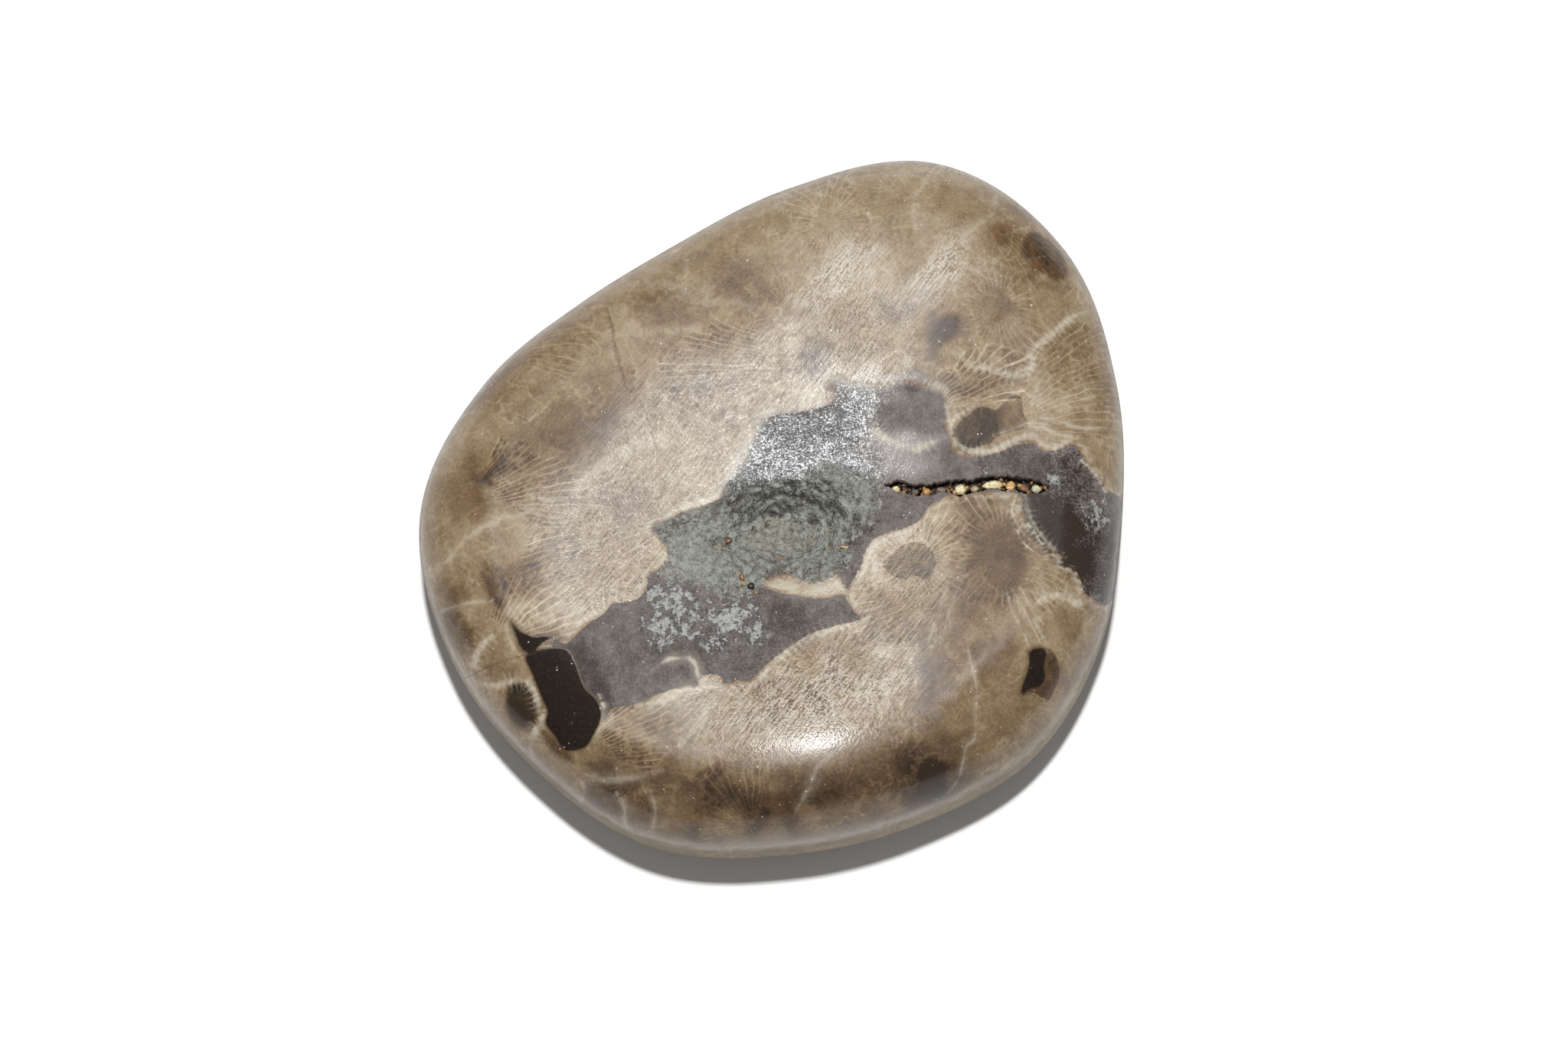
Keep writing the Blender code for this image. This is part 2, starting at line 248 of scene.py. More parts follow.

# Everything below is read off the photo, in its pixels; an outline or a course is written
# x, y, x, y and so on
OUTLINES = {
    # The band of mudstone, and coral that shows through it
    "band": (
        (725, 835, 740, 840, 765, 815, 790, 800, 800, 788, 830, 783, 845, 765, 848, 750, 868, 740, 872,
         725, 865, 705, 850, 690, 865, 680, 880, 675, 900, 663, 930, 655, 945, 645, 950, 630, 965, 610,
         975, 595, 985, 575, 993, 555, 1008, 543, 1050, 537, 1080, 528, 1090, 516, 1078, 504, 1095, 490,
         1112, 500, 1150, 502, 1180, 498, 1212, 505, 1232, 515, 1238, 535, 1236, 558, 1242, 575, 1246,
         590, 1265, 597, 1300, 592, 1330, 580, 1350, 578, 1357, 586, 1375, 588, 1400, 580, 1408, 585,
         1417, 600, 1425, 615, 1440, 630, 1455, 645, 1468, 665, 1478, 700, 1470, 760, 1447, 790, 1420,
         778, 1414, 768, 1409, 753, 1402, 740, 1389, 739, 1387, 728, 1370, 715, 1360, 705, 1350, 690,
         1335, 668, 1334, 650, 1318, 643, 1290, 643, 1262, 646, 1240, 648, 1226, 654, 1213, 663, 1205,
         675, 1190, 687, 1165, 695, 1142, 704, 1131, 720, 1125, 740, 1109, 767, 1106, 782, 1116, 798,
         1124, 809, 1090, 818, 1060, 828, 1030, 845, 1000, 870, 980, 890, 965, 890, 946, 895, 940, 883,
         918, 884, 906, 898, 880, 900, 855, 910, 830, 922, 800, 926, 785, 940, 750, 900, 720, 862),
    ),
    "island": (
        (1000, 758, 1025, 752, 1049, 757, 1074, 760, 1090, 750, 1100, 760, 1108, 774, 1094, 777, 1070,
         781, 1041, 777, 1017, 773, 1002, 768),
    ),
    # The pit's crust
    "crust": (
        (855, 692, 870, 682, 900, 670, 930, 660, 946, 645, 962, 624, 1000, 625, 1040, 624, 1056, 613,
         1090, 602, 1118, 612, 1145, 624, 1152, 650, 1148, 680, 1128, 696, 1110, 715, 1112, 735, 1095,
         747, 1070, 762, 1045, 758, 1020, 747, 1003, 748, 996, 770, 968, 781, 940, 782, 922, 768, 890,
         762, 858, 752, 872, 730, 868, 710),
    ),
    # Silvery crystals, their sparkle painted in as white glints
    "silver": (
        (950, 640, 970, 603, 985, 578, 995, 556, 1010, 546, 1060, 540, 1095, 528, 1108, 508, 1138, 522,
         1132, 545, 1130, 566, 1118, 590, 1134, 604, 1142, 622, 1126, 636, 1090, 616, 1062, 622, 1040,
         634, 1000, 634),
    ),
    # Thin grey film
    "residue": (
        (836, 765, 850, 748, 900, 760, 940, 780, 985, 776, 1000, 800, 996, 846, 962, 852, 930, 850, 900,
         838, 872, 852, 842, 836, 826, 800),
        (1419, 641, 1440, 645, 1450, 665, 1446, 692, 1425, 690, 1413, 668),
        (1362, 624, 1382, 622, 1380, 640, 1366, 646),
        (1258, 612, 1290, 606, 1300, 618, 1270, 622),
    ),
    # Brown patches with a crisp edge
    "patch": (
        (1153, 736, 1165, 724, 1176, 714, 1194, 708, 1212, 714, 1222, 728, 1221, 744, 1212, 755, 1195,
         753, 1178, 757, 1165, 752),
        (1240, 568, 1256, 549, 1268, 539, 1282, 531, 1300, 535, 1311, 525, 1325, 515, 1334, 521, 1336,
         536, 1342, 548, 1340, 558, 1322, 563, 1302, 571, 1290, 581, 1270, 585, 1250, 578),
        (1345, 851, 1360, 846, 1375, 850, 1383, 870, 1383, 886, 1370, 914, 1357, 908, 1345, 904, 1335,
         908, 1337, 890, 1343, 873),
    ),
    # The rough polish in the dish, where fine scratches and grains catch the light; its sheen is also
    # painted into the colour
    "satin": (
        (698, 640, 722, 600, 760, 560, 790, 520, 830, 480, 860, 455, 910, 440, 950, 425, 990, 400, 1035,
         370, 1060, 335, 1110, 308, 1150, 312, 1175, 345, 1205, 345, 1225, 312, 1258, 305, 1262, 345,
         1242, 390, 1232, 430, 1236, 470, 1245, 510, 1240, 560, 1232, 600, 1225, 640, 1250, 690, 1262,
         760, 1250, 820, 1238, 870, 1220, 930, 1180, 960, 1120, 985, 1060, 1000, 1000, 1004, 940, 992,
         895, 975, 860, 940, 830, 905, 800, 870, 770, 845, 722, 838, 702, 800, 688, 760, 682, 700),
    ),
    # The top worn dull round the dish, neither glossy nor satin
    "worn": (
        (640, 640, 660, 570, 700, 510, 770, 450, 840, 400, 920, 360, 1000, 310, 1100, 275, 1200, 270,
         1270, 300, 1320, 370, 1355, 450, 1375, 540, 1385, 650, 1375, 750, 1330, 820, 1265, 880, 1215,
         930, 1150, 975, 1070, 995, 980, 998, 880, 980, 800, 950, 735, 900, 680, 830, 640, 740),
    ),
}

# Near-black spots: softness of the edge, outline
INK_SPOTS = (
    (0.2, 667, 811, 671, 824, 676, 838, 682, 850, 694, 853, 704, 845, 712, 838, 730, 832, 716, 830, 700,
     832, 688, 829, 678, 823),
    (0.12, 686, 858, 700, 850, 725, 846, 742, 850, 752, 868, 763, 898, 779, 914, 785, 935, 778, 955, 765,
     975, 745, 981, 735, 978, 725, 962, 712, 945, 715, 930, 705, 905, 695, 880),
    (0.18, 1345, 851, 1358, 846, 1366, 852, 1364, 870, 1365, 885, 1358, 897, 1346, 900, 1334, 908, 1337,
     890, 1343, 873),
)

# Areas of their own tone: change of tone, softness of the edge, outline
TONE_AREAS = (
    (-0.46, 0.45, 664, 902, 673, 893, 690, 896, 699, 910, 702, 930, 696, 948, 682, 951, 668, 940, 661,
     922),
    (-0.36, 0.6, 1207, 996, 1224, 993, 1230, 1010, 1231, 1034, 1220, 1046, 1205, 1036, 1204, 1015),
    (-0.26, 0.7, 735, 848, 764, 846, 780, 870, 794, 900, 800, 925, 780, 935, 750, 900),
    # Paler mud below the violet lobe, with painted sheen on it
    (0.24, 0.9, 1142, 566, 1168, 574, 1200, 578, 1236, 570, 1240, 592, 1200, 604, 1150, 596),
    (-0.13, 0.6, 768, 996, 800, 995, 803, 1012, 780, 1018, 765, 1010),
    (-0.18, 0.55, 765, 1028, 790, 1022, 812, 1052, 808, 1066, 784, 1062, 766, 1046),
    (-0.18, 0.35, 790, 1030, 812, 1022, 838, 1020, 836, 1030, 812, 1040),
    (-0.05, 0.5, 820, 1046, 848, 1040, 850, 1078, 834, 1084, 818, 1070),
    (0.12, 0.5, 1000, 760, 1030, 758, 1060, 764, 1084, 752, 1104, 768, 1098, 784, 1060, 780, 1020, 776),
    (0.04, 0.8, 1130, 520, 1155, 525, 1160, 575, 1135, 590),
    (-0.3, 0.45, 1214, 446, 1222, 424, 1240, 408, 1254, 418, 1246, 436, 1230, 452),
    (-0.2, 0.45, 1180, 500, 1184, 484, 1198, 478, 1208, 490, 1204, 506, 1190, 512),
    (-0.18, 1.0, 1000, 545, 1060, 532, 1110, 520, 1118, 560, 1080, 580, 1004, 580),
    (-0.12, 0.4, 1253, 500, 1262, 490, 1300, 484, 1330, 492, 1332, 505, 1296, 508, 1274, 512, 1258, 516),
    (-0.16, 0.7, 1275, 540, 1298, 536, 1306, 552, 1302, 568, 1282, 574),
    (0.07, 0.4, 1312, 530, 1326, 520, 1336, 536, 1336, 556, 1316, 560),
    (-0.09, 0.8, 1306, 732, 1312, 708, 1326, 700, 1336, 712, 1334, 730, 1318, 740),
    (-0.3, 0.5, 628, 742, 648, 738, 658, 752, 660, 775, 656, 796, 644, 788, 636, 772),
    (-0.2, 0.5, 655, 742, 700, 733, 704, 752, 690, 770, 662, 780),
    (-0.1, 1.6, 942, 352, 975, 350, 1005, 372, 1010, 392, 975, 398, 940, 392),
    (-0.1, 1.2, 836, 380, 870, 376, 900, 388, 902, 412, 880, 425, 842, 424),
    (-0.14, 0.4, 1050, 446, 1080, 445, 1086, 470, 1068, 492, 1048, 480, 1042, 462),
    (-0.28, 0.4, 1340, 310, 1352, 303, 1385, 330, 1395, 358, 1378, 366, 1350, 348, 1336, 330),
    (-0.26, 0.4, 705, 952, 722, 960, 742, 982, 750, 996, 736, 992, 716, 978),
    (0.22, 0.35, 1050, 505, 1066, 498, 1082, 520, 1078, 528, 1048, 532),
    (-0.12, 0.8, 1270, 850, 1300, 832, 1322, 850, 1322, 870, 1296, 880, 1276, 872),
    (-0.12, 0.6, 1384, 795, 1404, 792, 1416, 815, 1405, 835, 1388, 828),
    (-0.42, 0.8, 1344, 652, 1384, 648, 1410, 700, 1424, 745, 1396, 740, 1362, 704),
    (-0.22, 1.2, 1380, 592, 1405, 590, 1425, 640, 1405, 665, 1360, 645, 1300, 600),
    (-0.3, 1.5, 1380, 680, 1470, 680, 1475, 770, 1440, 790, 1405, 760),
    (-0.16, 1.2, 1000, 775, 1050, 782, 1060, 812, 1030, 838, 1002, 850),
    # Paler mud below the violet lobe, with painted sheen on it
    (0.18, 1.2, 1150, 572, 1215, 588, 1225, 618, 1160, 618),
    (0.04, 1.0, 1160, 510, 1225, 515, 1235, 560, 1200, 575, 1150, 545),
    (-0.08, 3.5, 736, 846, 790, 830, 830, 860, 820, 905, 790, 935, 755, 900),
    (-0.1, 1.8, 742, 850, 775, 852, 795, 880, 795, 915, 775, 910, 755, 875),
    (0.05, 0.5, 1150, 736, 1176, 710, 1212, 710, 1222, 744, 1195, 758, 1160, 752),
    # Painted shade: the pit's far wall, turned from the lamp, darkest, and the whole bowl a little
    # darker
    (-0.5, 1.0, 945, 642, 1000, 632, 1080, 635, 1108, 650, 1108, 672, 1060, 682, 970, 680),
    (-0.14, 1.5, 930, 650, 1110, 640, 1110, 740, 1040, 745, 940, 735),
    (0.22, 1.2, 862, 700, 925, 700, 935, 765, 870, 750),
)

# Soft blots of tone: x, y, half width, half height, turn, change of tone. The broad dark blots low on
# the front rim are painted shade on the side turned from the lamp; the pale ones along the far rim at
# (1100, 235), (900, 300) and (740, 400) are painted light on the side that faces it, and the two at
# (1100, 350) and (1230, 350) painted sheen
TONE_BLOTS = (
    (640, 505, 50, 18, -38, -0.1), (720, 500, 70, 14, -8, -0.07), (735, 560, 60, 30, -35, -0.07),
    (785, 540, 30, 50, 30, -0.08), (650, 595, 50, 22, -40, -0.08), (625, 628, 20, 20, 0, -0.26),
    (655, 608, 16, 10, -40, -0.18), (614, 664, 15, 12, 0, -0.2), (598, 806, 14, 40, -8, -0.24),
    (582, 815, 14, 34, -12, -0.12), (660, 870, 30, 18, 0, -0.1), (600, 700, 40, 30, 0, -0.05),
    (905, 1085, 18, 14, 0, -0.14), (945, 1035, 36, 16, 25, -0.12), (975, 1052, 40, 12, 10, -0.1),
    (1018, 1056, 22, 16, 0, -0.22), (1066, 1043, 26, 10, 0, -0.14), (1218, 1015, 34, 44, 0, -0.16),
    (1352, 360, 34, 14, 25, -0.14), (1316, 308, 14, 10, 0, -0.18), (1322, 272, 26, 24, 0, -0.06),
    (1303, 404, 12, 14, 0, -0.18), (1285, 318, 30, 16, -20, -0.06), (1228, 430, 26, 20, -35, -0.12),
    (1192, 492, 22, 15, -10, -0.08), (1175, 400, 34, 16, -30, -0.06), (1100, 430, 30, 20, 0, -0.03),
    (1150, 830, 20, 14, 0, -0.08), (1210, 900, 22, 50, 10, -0.12), (1180, 985, 60, 22, 0, -0.1),
    # Painted shade on the front rim, turned from the lamp: the first two blots here and all on the next
    # line
    (1120, 1030, 90, 30, 0, -0.14), (1000, 1040, 90, 40, 0, -0.1), (1395, 880, 20, 24, 0, -0.1),
    (1300, 1000, 80, 40, -30, -0.1), (840, 1050, 80, 40, 30, -0.12), (700, 1000, 60, 40, 45, -0.1),
    (1428, 850, 14, 60, 10, -0.12), (1080, 280, 34, 16, -10, 0.1), (1010, 320, 24, 14, 0, 0.06),
    (1150, 250, 120, 30, -8, 0.04), (740, 470, 80, 30, -38, 0.03), (700, 700, 50, 14, -10, 0.06),
    (700, 802, 36, 18, -10, 0.12), (780, 770, 60, 30, -30, 0.06), (860, 560, 60, 26, -20, 0.05),
    (900, 620, 50, 24, -30, 0.04), (1240, 670, 26, 16, 0, 0.1), (1370, 520, 34, 16, 10, 0.12),
    (1050, 860, 60, 24, -20, 0.04), (1140, 700, 16, 36, 25, 0.06), (1165, 770, 30, 12, 0, 0.04),
    (1146, 735, 12, 30, 0, 0.1), (1190, 700, 30, 10, 0, 0.03), (1190, 732, 30, 24, 0, 0.06),
    (760, 765, 60, 40, 0, 0.05), (690, 800, 40, 24, 0, 0.04), (620, 900, 24, 16, 20, 0.06),
    (855, 430, 40, 12, 0, 0.06), (930, 410, 40, 10, 0, 0.04), (1270, 500, 34, 14, 10, 0.03),
    (640, 440, 60, 20, -35, 0.05), (830, 350, 60, 16, -30, 0.05), (1260, 760, 60, 60, 0, -0.06),
    (1180, 820, 60, 40, 0, -0.08), (1240, 840, 40, 40, 0, -0.06), (900, 500, 60, 40, -20, -0.05),
    (800, 620, 50, 50, 0, -0.06), (900, 850, 60, 24, 0, -0.17), (1030, 815, 40, 30, 0, -0.1),
    # Painted sheen: the first two blots here, on the satin's bright prongs
    (1100, 350, 60, 40, 0, 0.14), (1230, 350, 30, 50, 0, 0.06), (590, 640, 30, 40, 0, 0.04),
    # Painted shade on the front rim in the first two blots here; painted light on the far rim, facing
    # the lamp, in the last one here and the first two on the next line
    (1300, 950, 50, 60, -20, -0.08), (1130, 1010, 80, 24, 0, -0.04), (1100, 235, 150, 22, -8, 0.05),
    (900, 300, 110, 24, -28, 0.08), (740, 400, 90, 22, -35, 0.08), (1085, 962, 80, 18, -9, -0.12),
    (1060, 900, 60, 24, -15, -0.06), (900, 520, 80, 50, -25, -0.08), (1220, 360, 26, 44, 10, -0.05),
    (780, 560, 60, 40, -30, -0.06), (1060, 465, 26, 26, 0, -0.06), (760, 760, 50, 40, -20, -0.06),
    # Painted shade on the front rim: the blot at (890, 1030) here, and (1120, 1022), (890, 1028), (890,
    # 1020) below
    (1190, 780, 60, 50, 0, -0.05), (1215, 1000, 60, 30, 0, -0.06), (890, 1030, 80, 24, 20, -0.06),
    (1120, 1022, 110, 36, 0, -0.07), (890, 1028, 90, 34, 15, -0.03), (1290, 589, 40, 10, 0, -0.17),
    (700, 520, 40, 30, -30, -0.06), (890, 1020, 80, 30, 20, -0.12), (1000, 870, 40, 20, -20, -0.06),
)

# Stains, in the same way with their strength
STAINS = {
    "violet": (
        (1232, 430, 26, 20, -35, 0.7), (1194, 495, 26, 18, -10, 0.7), (1200, 512, 46, 26, 0, 0.6),
        (1175, 400, 34, 20, -30, 0.5), (1060, 465, 26, 26, 0, 0.5), (790, 560, 40, 40, 30, 0.4),
        (830, 660, 40, 40, 0, 0.5), (1215, 890, 26, 60, 10, 0.5), (880, 940, 60, 24, 0, 0.4),
        (900, 975, 40, 20, 0, 0.5), (1320, 735, 22, 22, 0, 0.3), (625, 628, 20, 20, 0, 0.3),
        (1300, 850, 30, 26, 0, 0.3), (900, 345, 50, 14, -10, 0.4), (1400, 885, 24, 30, 0, 0.5),
        (1030, 262, 30, 10, -20, 0.4), (640, 505, 40, 14, -38, 0.4),
    ),
    "rust": (
        (614, 664, 10, 8, 0, 0.35), (1316, 306, 8, 8, 0, 0.8), (1303, 402, 5, 5, 0, 0.8),
        (1362, 340, 14, 10, 30, 0.5), (1018, 1057, 18, 12, 0, 0.35), (1333, 545, 10, 14, 0, 0.5),
        (705, 905, 12, 40, -15, 0.3), (1020, 705, 40, 14, 0, 0.25),
    ),
}

# Where the satin is duller, with less painted sheen, where it is shinier, with painted glints, and
# where the front of the crest is polished
DULL = (
    (1190, 790, 80, 60, 0), (1060, 840, 50, 20, -20), (1230, 690, 40, 60, 0), (1250, 500, 40, 80, 0),
    (720, 575, 60, 40, -35), (1190, 440, 30, 30, 0), (1292, 548, 36, 26, 0), (1312, 730, 50, 44, 0),
    (1192, 735, 34, 28, 0), (960, 420, 50, 30, -20),
)
SHINY = (
    (1165, 600, 50, 26, 10), (1120, 500, 60, 26, 0), (1095, 350, 20, 52, 50), (1228, 358, 20, 52, 30),
    (1130, 900, 60, 24, -25), (1040, 925, 60, 22, -8), (1080, 890, 60, 22, -10),
)
POLISH = (
    (1080, 964, 76, 19, -9), (985, 978, 44, 12, -6),
)

# Pale seams: half width, strength, course
PALE_SEAMS = (
    (0.34, 0.6, 553, 748, 575, 738, 600, 715, 610, 703, 650, 678, 670, 675, 720, 660),
    (0.9, 0.45, 742, 652, 770, 622, 800, 600, 850, 575, 880, 560),
    (0.6, 0.35, 835, 370, 868, 368, 900, 385, 910, 395),
    (0.6, 0.35, 840, 434, 865, 432, 890, 430),
    (0.5, 0.3, 905, 398, 930, 393, 960, 396, 990, 402),
    (0.4, 0.4, 1300, 250, 1297, 272, 1290, 285, 1262, 305, 1255, 325),
    (0.36, 0.3, 1158, 222, 1153, 240, 1148, 255),
    (0.26, 0.7, 1340, 556, 1365, 560, 1385, 568, 1405, 570),
    (0.2, 0.6, 1350, 545, 1380, 549, 1400, 556, 1420, 560, 1440, 558),
    (0.2, 0.7, 1300, 568, 1330, 558, 1345, 552, 1375, 556),
    (0.4, 0.4, 755, 1005, 775, 1016, 800, 1018, 830, 1015, 850, 1010),
    (0.26, 0.5, 758, 1018, 762, 1038, 756, 1050),
    (0.26, 0.5, 808, 1040, 816, 1060, 818, 1080),
    (0.2, 0.4, 850, 1036, 856, 1060, 852, 1085),
    (0.3, 1.0, 860, 869, 872, 862, 890, 859, 902, 861, 909, 871, 912, 884, 918, 896, 930, 898, 940, 896),
    (0.34, 1.0, 840, 920, 870, 915, 890, 902, 905, 898, 920, 903),
    (0.36, 0.4, 1150, 820, 1154, 845, 1145, 865, 1130, 885, 1120, 905),
    (0.34, 0.45, 1095, 980, 1070, 1000, 1057, 1028, 1045, 1050),
    (0.18, 0.45, 1263, 830, 1265, 850, 1272, 880, 1276, 905, 1275, 930, 1273, 965, 1262, 975, 1257, 1000,
     1250, 1020, 1225, 1045),
    (0.52, 0.8, 1003, 763, 1025, 764, 1050, 768, 1072, 769, 1090, 763, 1102, 772),
    (0.6, 1.0, 1000, 548, 990, 572, 975, 590, 962, 612, 950, 626),
    (0.4, 1.0, 948, 640, 930, 652, 905, 660, 885, 668),
    (0.16, 0.6, 1315, 775, 1323, 800, 1336, 826, 1342, 840),
    (0.16, 0.6, 1324, 772, 1336, 795, 1352, 825, 1360, 842),
    (0.16, 0.6, 1333, 770, 1348, 792, 1362, 815),
    (0.2, 0.3, 1240, 762, 1228, 790, 1216, 830, 1212, 850),
    (0.16, 0.3, 1252, 764, 1240, 800, 1228, 840),
    (0.24, 1.0, 785, 915, 788, 928, 782, 950, 770, 972),
    (0.24, 0.4, 575, 800, 600, 790, 640, 785),
    (0.24, 0.5, 700, 650, 720, 655, 745, 650),
)

# Pale seams with teeth like a comb, in the same way
COMB_SEAMS = (
    (0.36, 0.45, 1216, 225, 1205, 243, 1192, 262, 1195, 290),
    (0.48, 1.0, 1240, 455, 1260, 470, 1285, 480, 1310, 486, 1335, 492, 1345, 480, 1352, 455, 1375, 435,
     1400, 415, 1425, 405),
    (0.36, 1.0, 1246, 574, 1262, 587, 1285, 590, 1305, 585, 1325, 574, 1345, 569, 1358, 574, 1372, 584,
     1390, 580, 1402, 574),
    (0.34, 1.0, 1238, 540, 1242, 552, 1248, 545, 1262, 536),
    (0.44, 1.0, 625, 892, 650, 895, 680, 888, 694, 895, 702, 915, 706, 935),
    (0.5, 1.0, 710, 930, 707, 945, 698, 957, 692, 975),
    (0.44, 1.0, 650, 826, 634, 838, 625, 852, 619, 866, 616, 876),
    (0.22, 0.6, 664, 806, 662, 825, 668, 842, 676, 852),
    (0.5, 0.6, 938, 903, 925, 925, 912, 945, 900, 960),
    (0.42, 0.7, 1204, 694, 1180, 700, 1158, 710, 1145, 724, 1141, 740, 1150, 756, 1166, 764),
    (0.34, 1.0, 1124, 811, 1095, 820, 1065, 830, 1035, 847, 1005, 872, 985, 892),
    (0.6, 1.1, 1136, 545, 1146, 564, 1166, 578, 1198, 584, 1216, 580, 1230, 574),
    (0.3, 1.0, 1204, 680, 1190, 692, 1168, 699, 1148, 708, 1137, 722, 1130, 742, 1116, 766),
    (0.44, 1.0, 1352, 792, 1362, 782, 1378, 778, 1394, 781, 1406, 788, 1422, 783),
    (0.24, 0.7, 1356, 792, 1352, 812, 1362, 832, 1366, 845),
    (0.3, 0.6, 1340, 652, 1344, 672, 1352, 688, 1366, 706, 1384, 722),
    (0.18, 1.0, 1326, 650, 1322, 668, 1332, 690, 1342, 702),
    (0.18, 1.0, 1352, 690, 1340, 686, 1330, 694, 1338, 710, 1352, 722),
    (0.26, 1.0, 1420, 608, 1430, 618, 1440, 636),
)

# Dark hairline cracks: half width, course
HAIRLINES = (
    (0.26, 795, 408, 800, 430, 803, 450, 808, 470, 817, 505),
    (0.14, 835, 520, 850, 558, 858, 592),
    (0.1, 605, 886, 640, 870, 690, 855, 720, 848),
    (0.1, 1337, 905, 1350, 908, 1366, 917, 1376, 900, 1384, 880, 1378, 856),
)

# The coral's cells by kind. How they look: tone, strength of the plates, darkness of the core, core
# radius, wall strength, plate spacing. Then each cell, and where its plates meet if not in its middle
CELLS = {
    "olive": ((0.51, 0.12, 0.02, 1.4, 0.05, 0.75), (
        (1180, 255), (1000, 330), (1245, 270), (1185, 350), (1095, 375), (915, 335), (780, 400),
        (690, 520), (785, 490), (1392, 375), (600, 580), (640, 705, 720, 700), (578, 705),
        (598, 760, 650, 765), (655, 860), (885, 1030), (1300, 852), (1325, 960, 1290, 900),
        (1398, 815, 1385, 800), (1412, 890), (1295, 1005),
    )),
    "brown": ((0.44, 0.16, 0.03, 1.6, 0.05, 0.75), (
        (1328, 272), (975, 372), (868, 402), (645, 495), (1290, 552, 1290, 500), (790, 550), (715, 560),
        (585, 645), (590, 825), (682, 925, 690, 880), (722, 985, 690, 940), (785, 1008), (790, 1048),
        (836, 1062), (1018, 1062), (1100, 1035), (1170, 1000), (1218, 1022), (1232, 890), (1356, 880),
        (1240, 960), (1060, 1092),
    )),
    "tan": ((0.52, 0.45, 0.02, 1.4, 0.05, 0.62), (
        (1083, 288), (1030, 405), (1125, 440, 1095, 510), (1390, 530, 1300, 560), (860, 610), (620, 905),
        (910, 925, 935, 900), (1160, 900), (1375, 760, 1312, 724),
    )),
    "pale": ((0.49, 0.6, 0.02, 1.3, 0.04, 0.62), (
        (1050, 505, 1075, 480), (940, 560), (830, 700, 905, 668), (1000, 930), (1080, 880),
        (1175, 815, 1240, 760),
    )),
    "grey": ((0.52, 0.3, 0.02, 1.3, 0.02, 0.62), (
        (1065, 468), (1178, 405), (1228, 432), (1192, 540),
    )),
    "eye": ((0.57, 0.75, 0.03, 2.3, 0.02, 0.52), (
        (1190, 732, 1196, 734),
    )),
    "big": ((0.31, 0.66, 0.02, 4.8, 0.02, 0.45), (
        (1312, 728, 1312, 724),
    )),
    "rosette": ((0.48, 0.4, 0.04, 2.4, 0.08, 0.65), (
        (1302, 402),
    )),
    "fan": ((0.43, 0.9, 0.0, 0.8, 0.03, 0.55), (
        (685, 620, 606, 660), (735, 740, 905, 668),
    )),
    "faint_fan": ((0.47, 0.8, 0.0, 0.8, 0.03, 0.55), (
        (940, 475, 1075, 478), (840, 955, 730, 985),
    )),
    "ladder": ((0.46, 0.9, 0.0, 0.8, 0.08, 0.7), (
        (1285, 500, 1205, 545), (700, 805, 640, 850),
    )),
    "streaky": ((0.45, 0.45, 0.0, 0.8, 0.05, 0.7), (
        (1366, 335, 1250, 250), (735, 455, 600, 540), (1420, 470, 1290, 545), (955, 1040, 985, 1075),
    )),
}

# Specks lying in the pit: x, y, half sizes, turn, shade
PIT_SPECKS = (
    (951, 706, 0.42, 0.34, 0.16, 20, 0.36), (946, 712, 0.22, 0.14, 0.1, -30, 0.48),
    (969, 754, 0.24, 0.38, 0.16, 15, 0.52), (972, 763, 0.18, 0.16, 0.12, 0, 0.7),
    (981, 766, 0.36, 0.34, 0.2, 0, 0.02), (1104, 715, 0.58, 0.17, 0.12, -4, 0.74),
    (1018, 730, 0.28, 0.12, 0.1, 5, 0.56), (1086, 713, 0.1, 0.16, 0.1, 0, 0.48),
    (940, 716, 0.26, 0.08, 0.08, -20, 0.82), (1085, 693, 0.2, 0.07, 0.07, 10, 0.86),
    (988, 774, 0.2, 0.1, 0.08, 30, 0.72),
)



def smooth_step(value):
    value = np.clip(value, 0.0, 1.0)
    return value * value * (3.0 - 2.0 * value)


def field(x, y, level, size):
    """Smooth noise between about -1 and 1 at each place, with features of this size."""
    spots = zip(np.ravel(x).tolist(), np.ravel(y).tolist())
    return np.array([noise.noise(Vector((a, b, level)) / size) for a, b in spots])


def warp(places, size, reach):
    """The places, each pushed about by noise with features of this size."""
    pushes = [noise.noise_vector(Vector(place) / size) for place in places]
    return places + reach * np.array(pushes)


def through(before, start, end, after, t):
    """A point of a smooth curve between start and end, which has these points on either side."""
    slope = end - before
    bend = 2.0 * before - 5.0 * start + 4.0 * end - after
    twist = 3.0 * (start - end) + after - before
    return start + 0.5 * t * (slope + t * (bend + t * twist))


def edge_radius(angle):
    """Distance to the widest line at each angle, on a smooth closed curve through EDGE_RADII."""
    radii = np.array(EDGE_RADII)
    place = np.mod(angle / math.tau, 1.0) * len(radii)
    step = np.floor(place).astype(int)
    return through(*(radii[(step + k) % len(radii)] for k in (-1, 0, 1, 2)), place - step)


def edge_wander(x, y):
    return EDGE_WANDER * np.sin(2.0 * np.arctan2(y, x) + EDGE_WANDER_TURN)


def crown_height(x, y):
    """Height of the polished top, before the pit and the crack."""
    reach = np.minimum(np.hypot(x, y) / edge_radius(np.arctan2(y, x)), 1.0)
    dome = (1.0 - reach ** CROWN_SQUARENESS) ** (1.0 / CROWN_SQUARENESS)
    relief = BROAD_WAVE_HEIGHT * field(x, y, 0.0, BROAD_WAVE)
    for centre_x, centre_y, size, height in TOP_SWELLS:
        share = ((x - centre_x) ** 2 + (y - centre_y) ** 2) / size ** 2
        relief = relief + height * np.where(share < 1.0, (1.0 - share) ** 2, 0.0)
    crown = CROWN_HEIGHT - FORWARD_LEAN * y + relief
    return EDGE_HEIGHT + dome * crown + (1.0 - dome) * edge_wander(x, y)


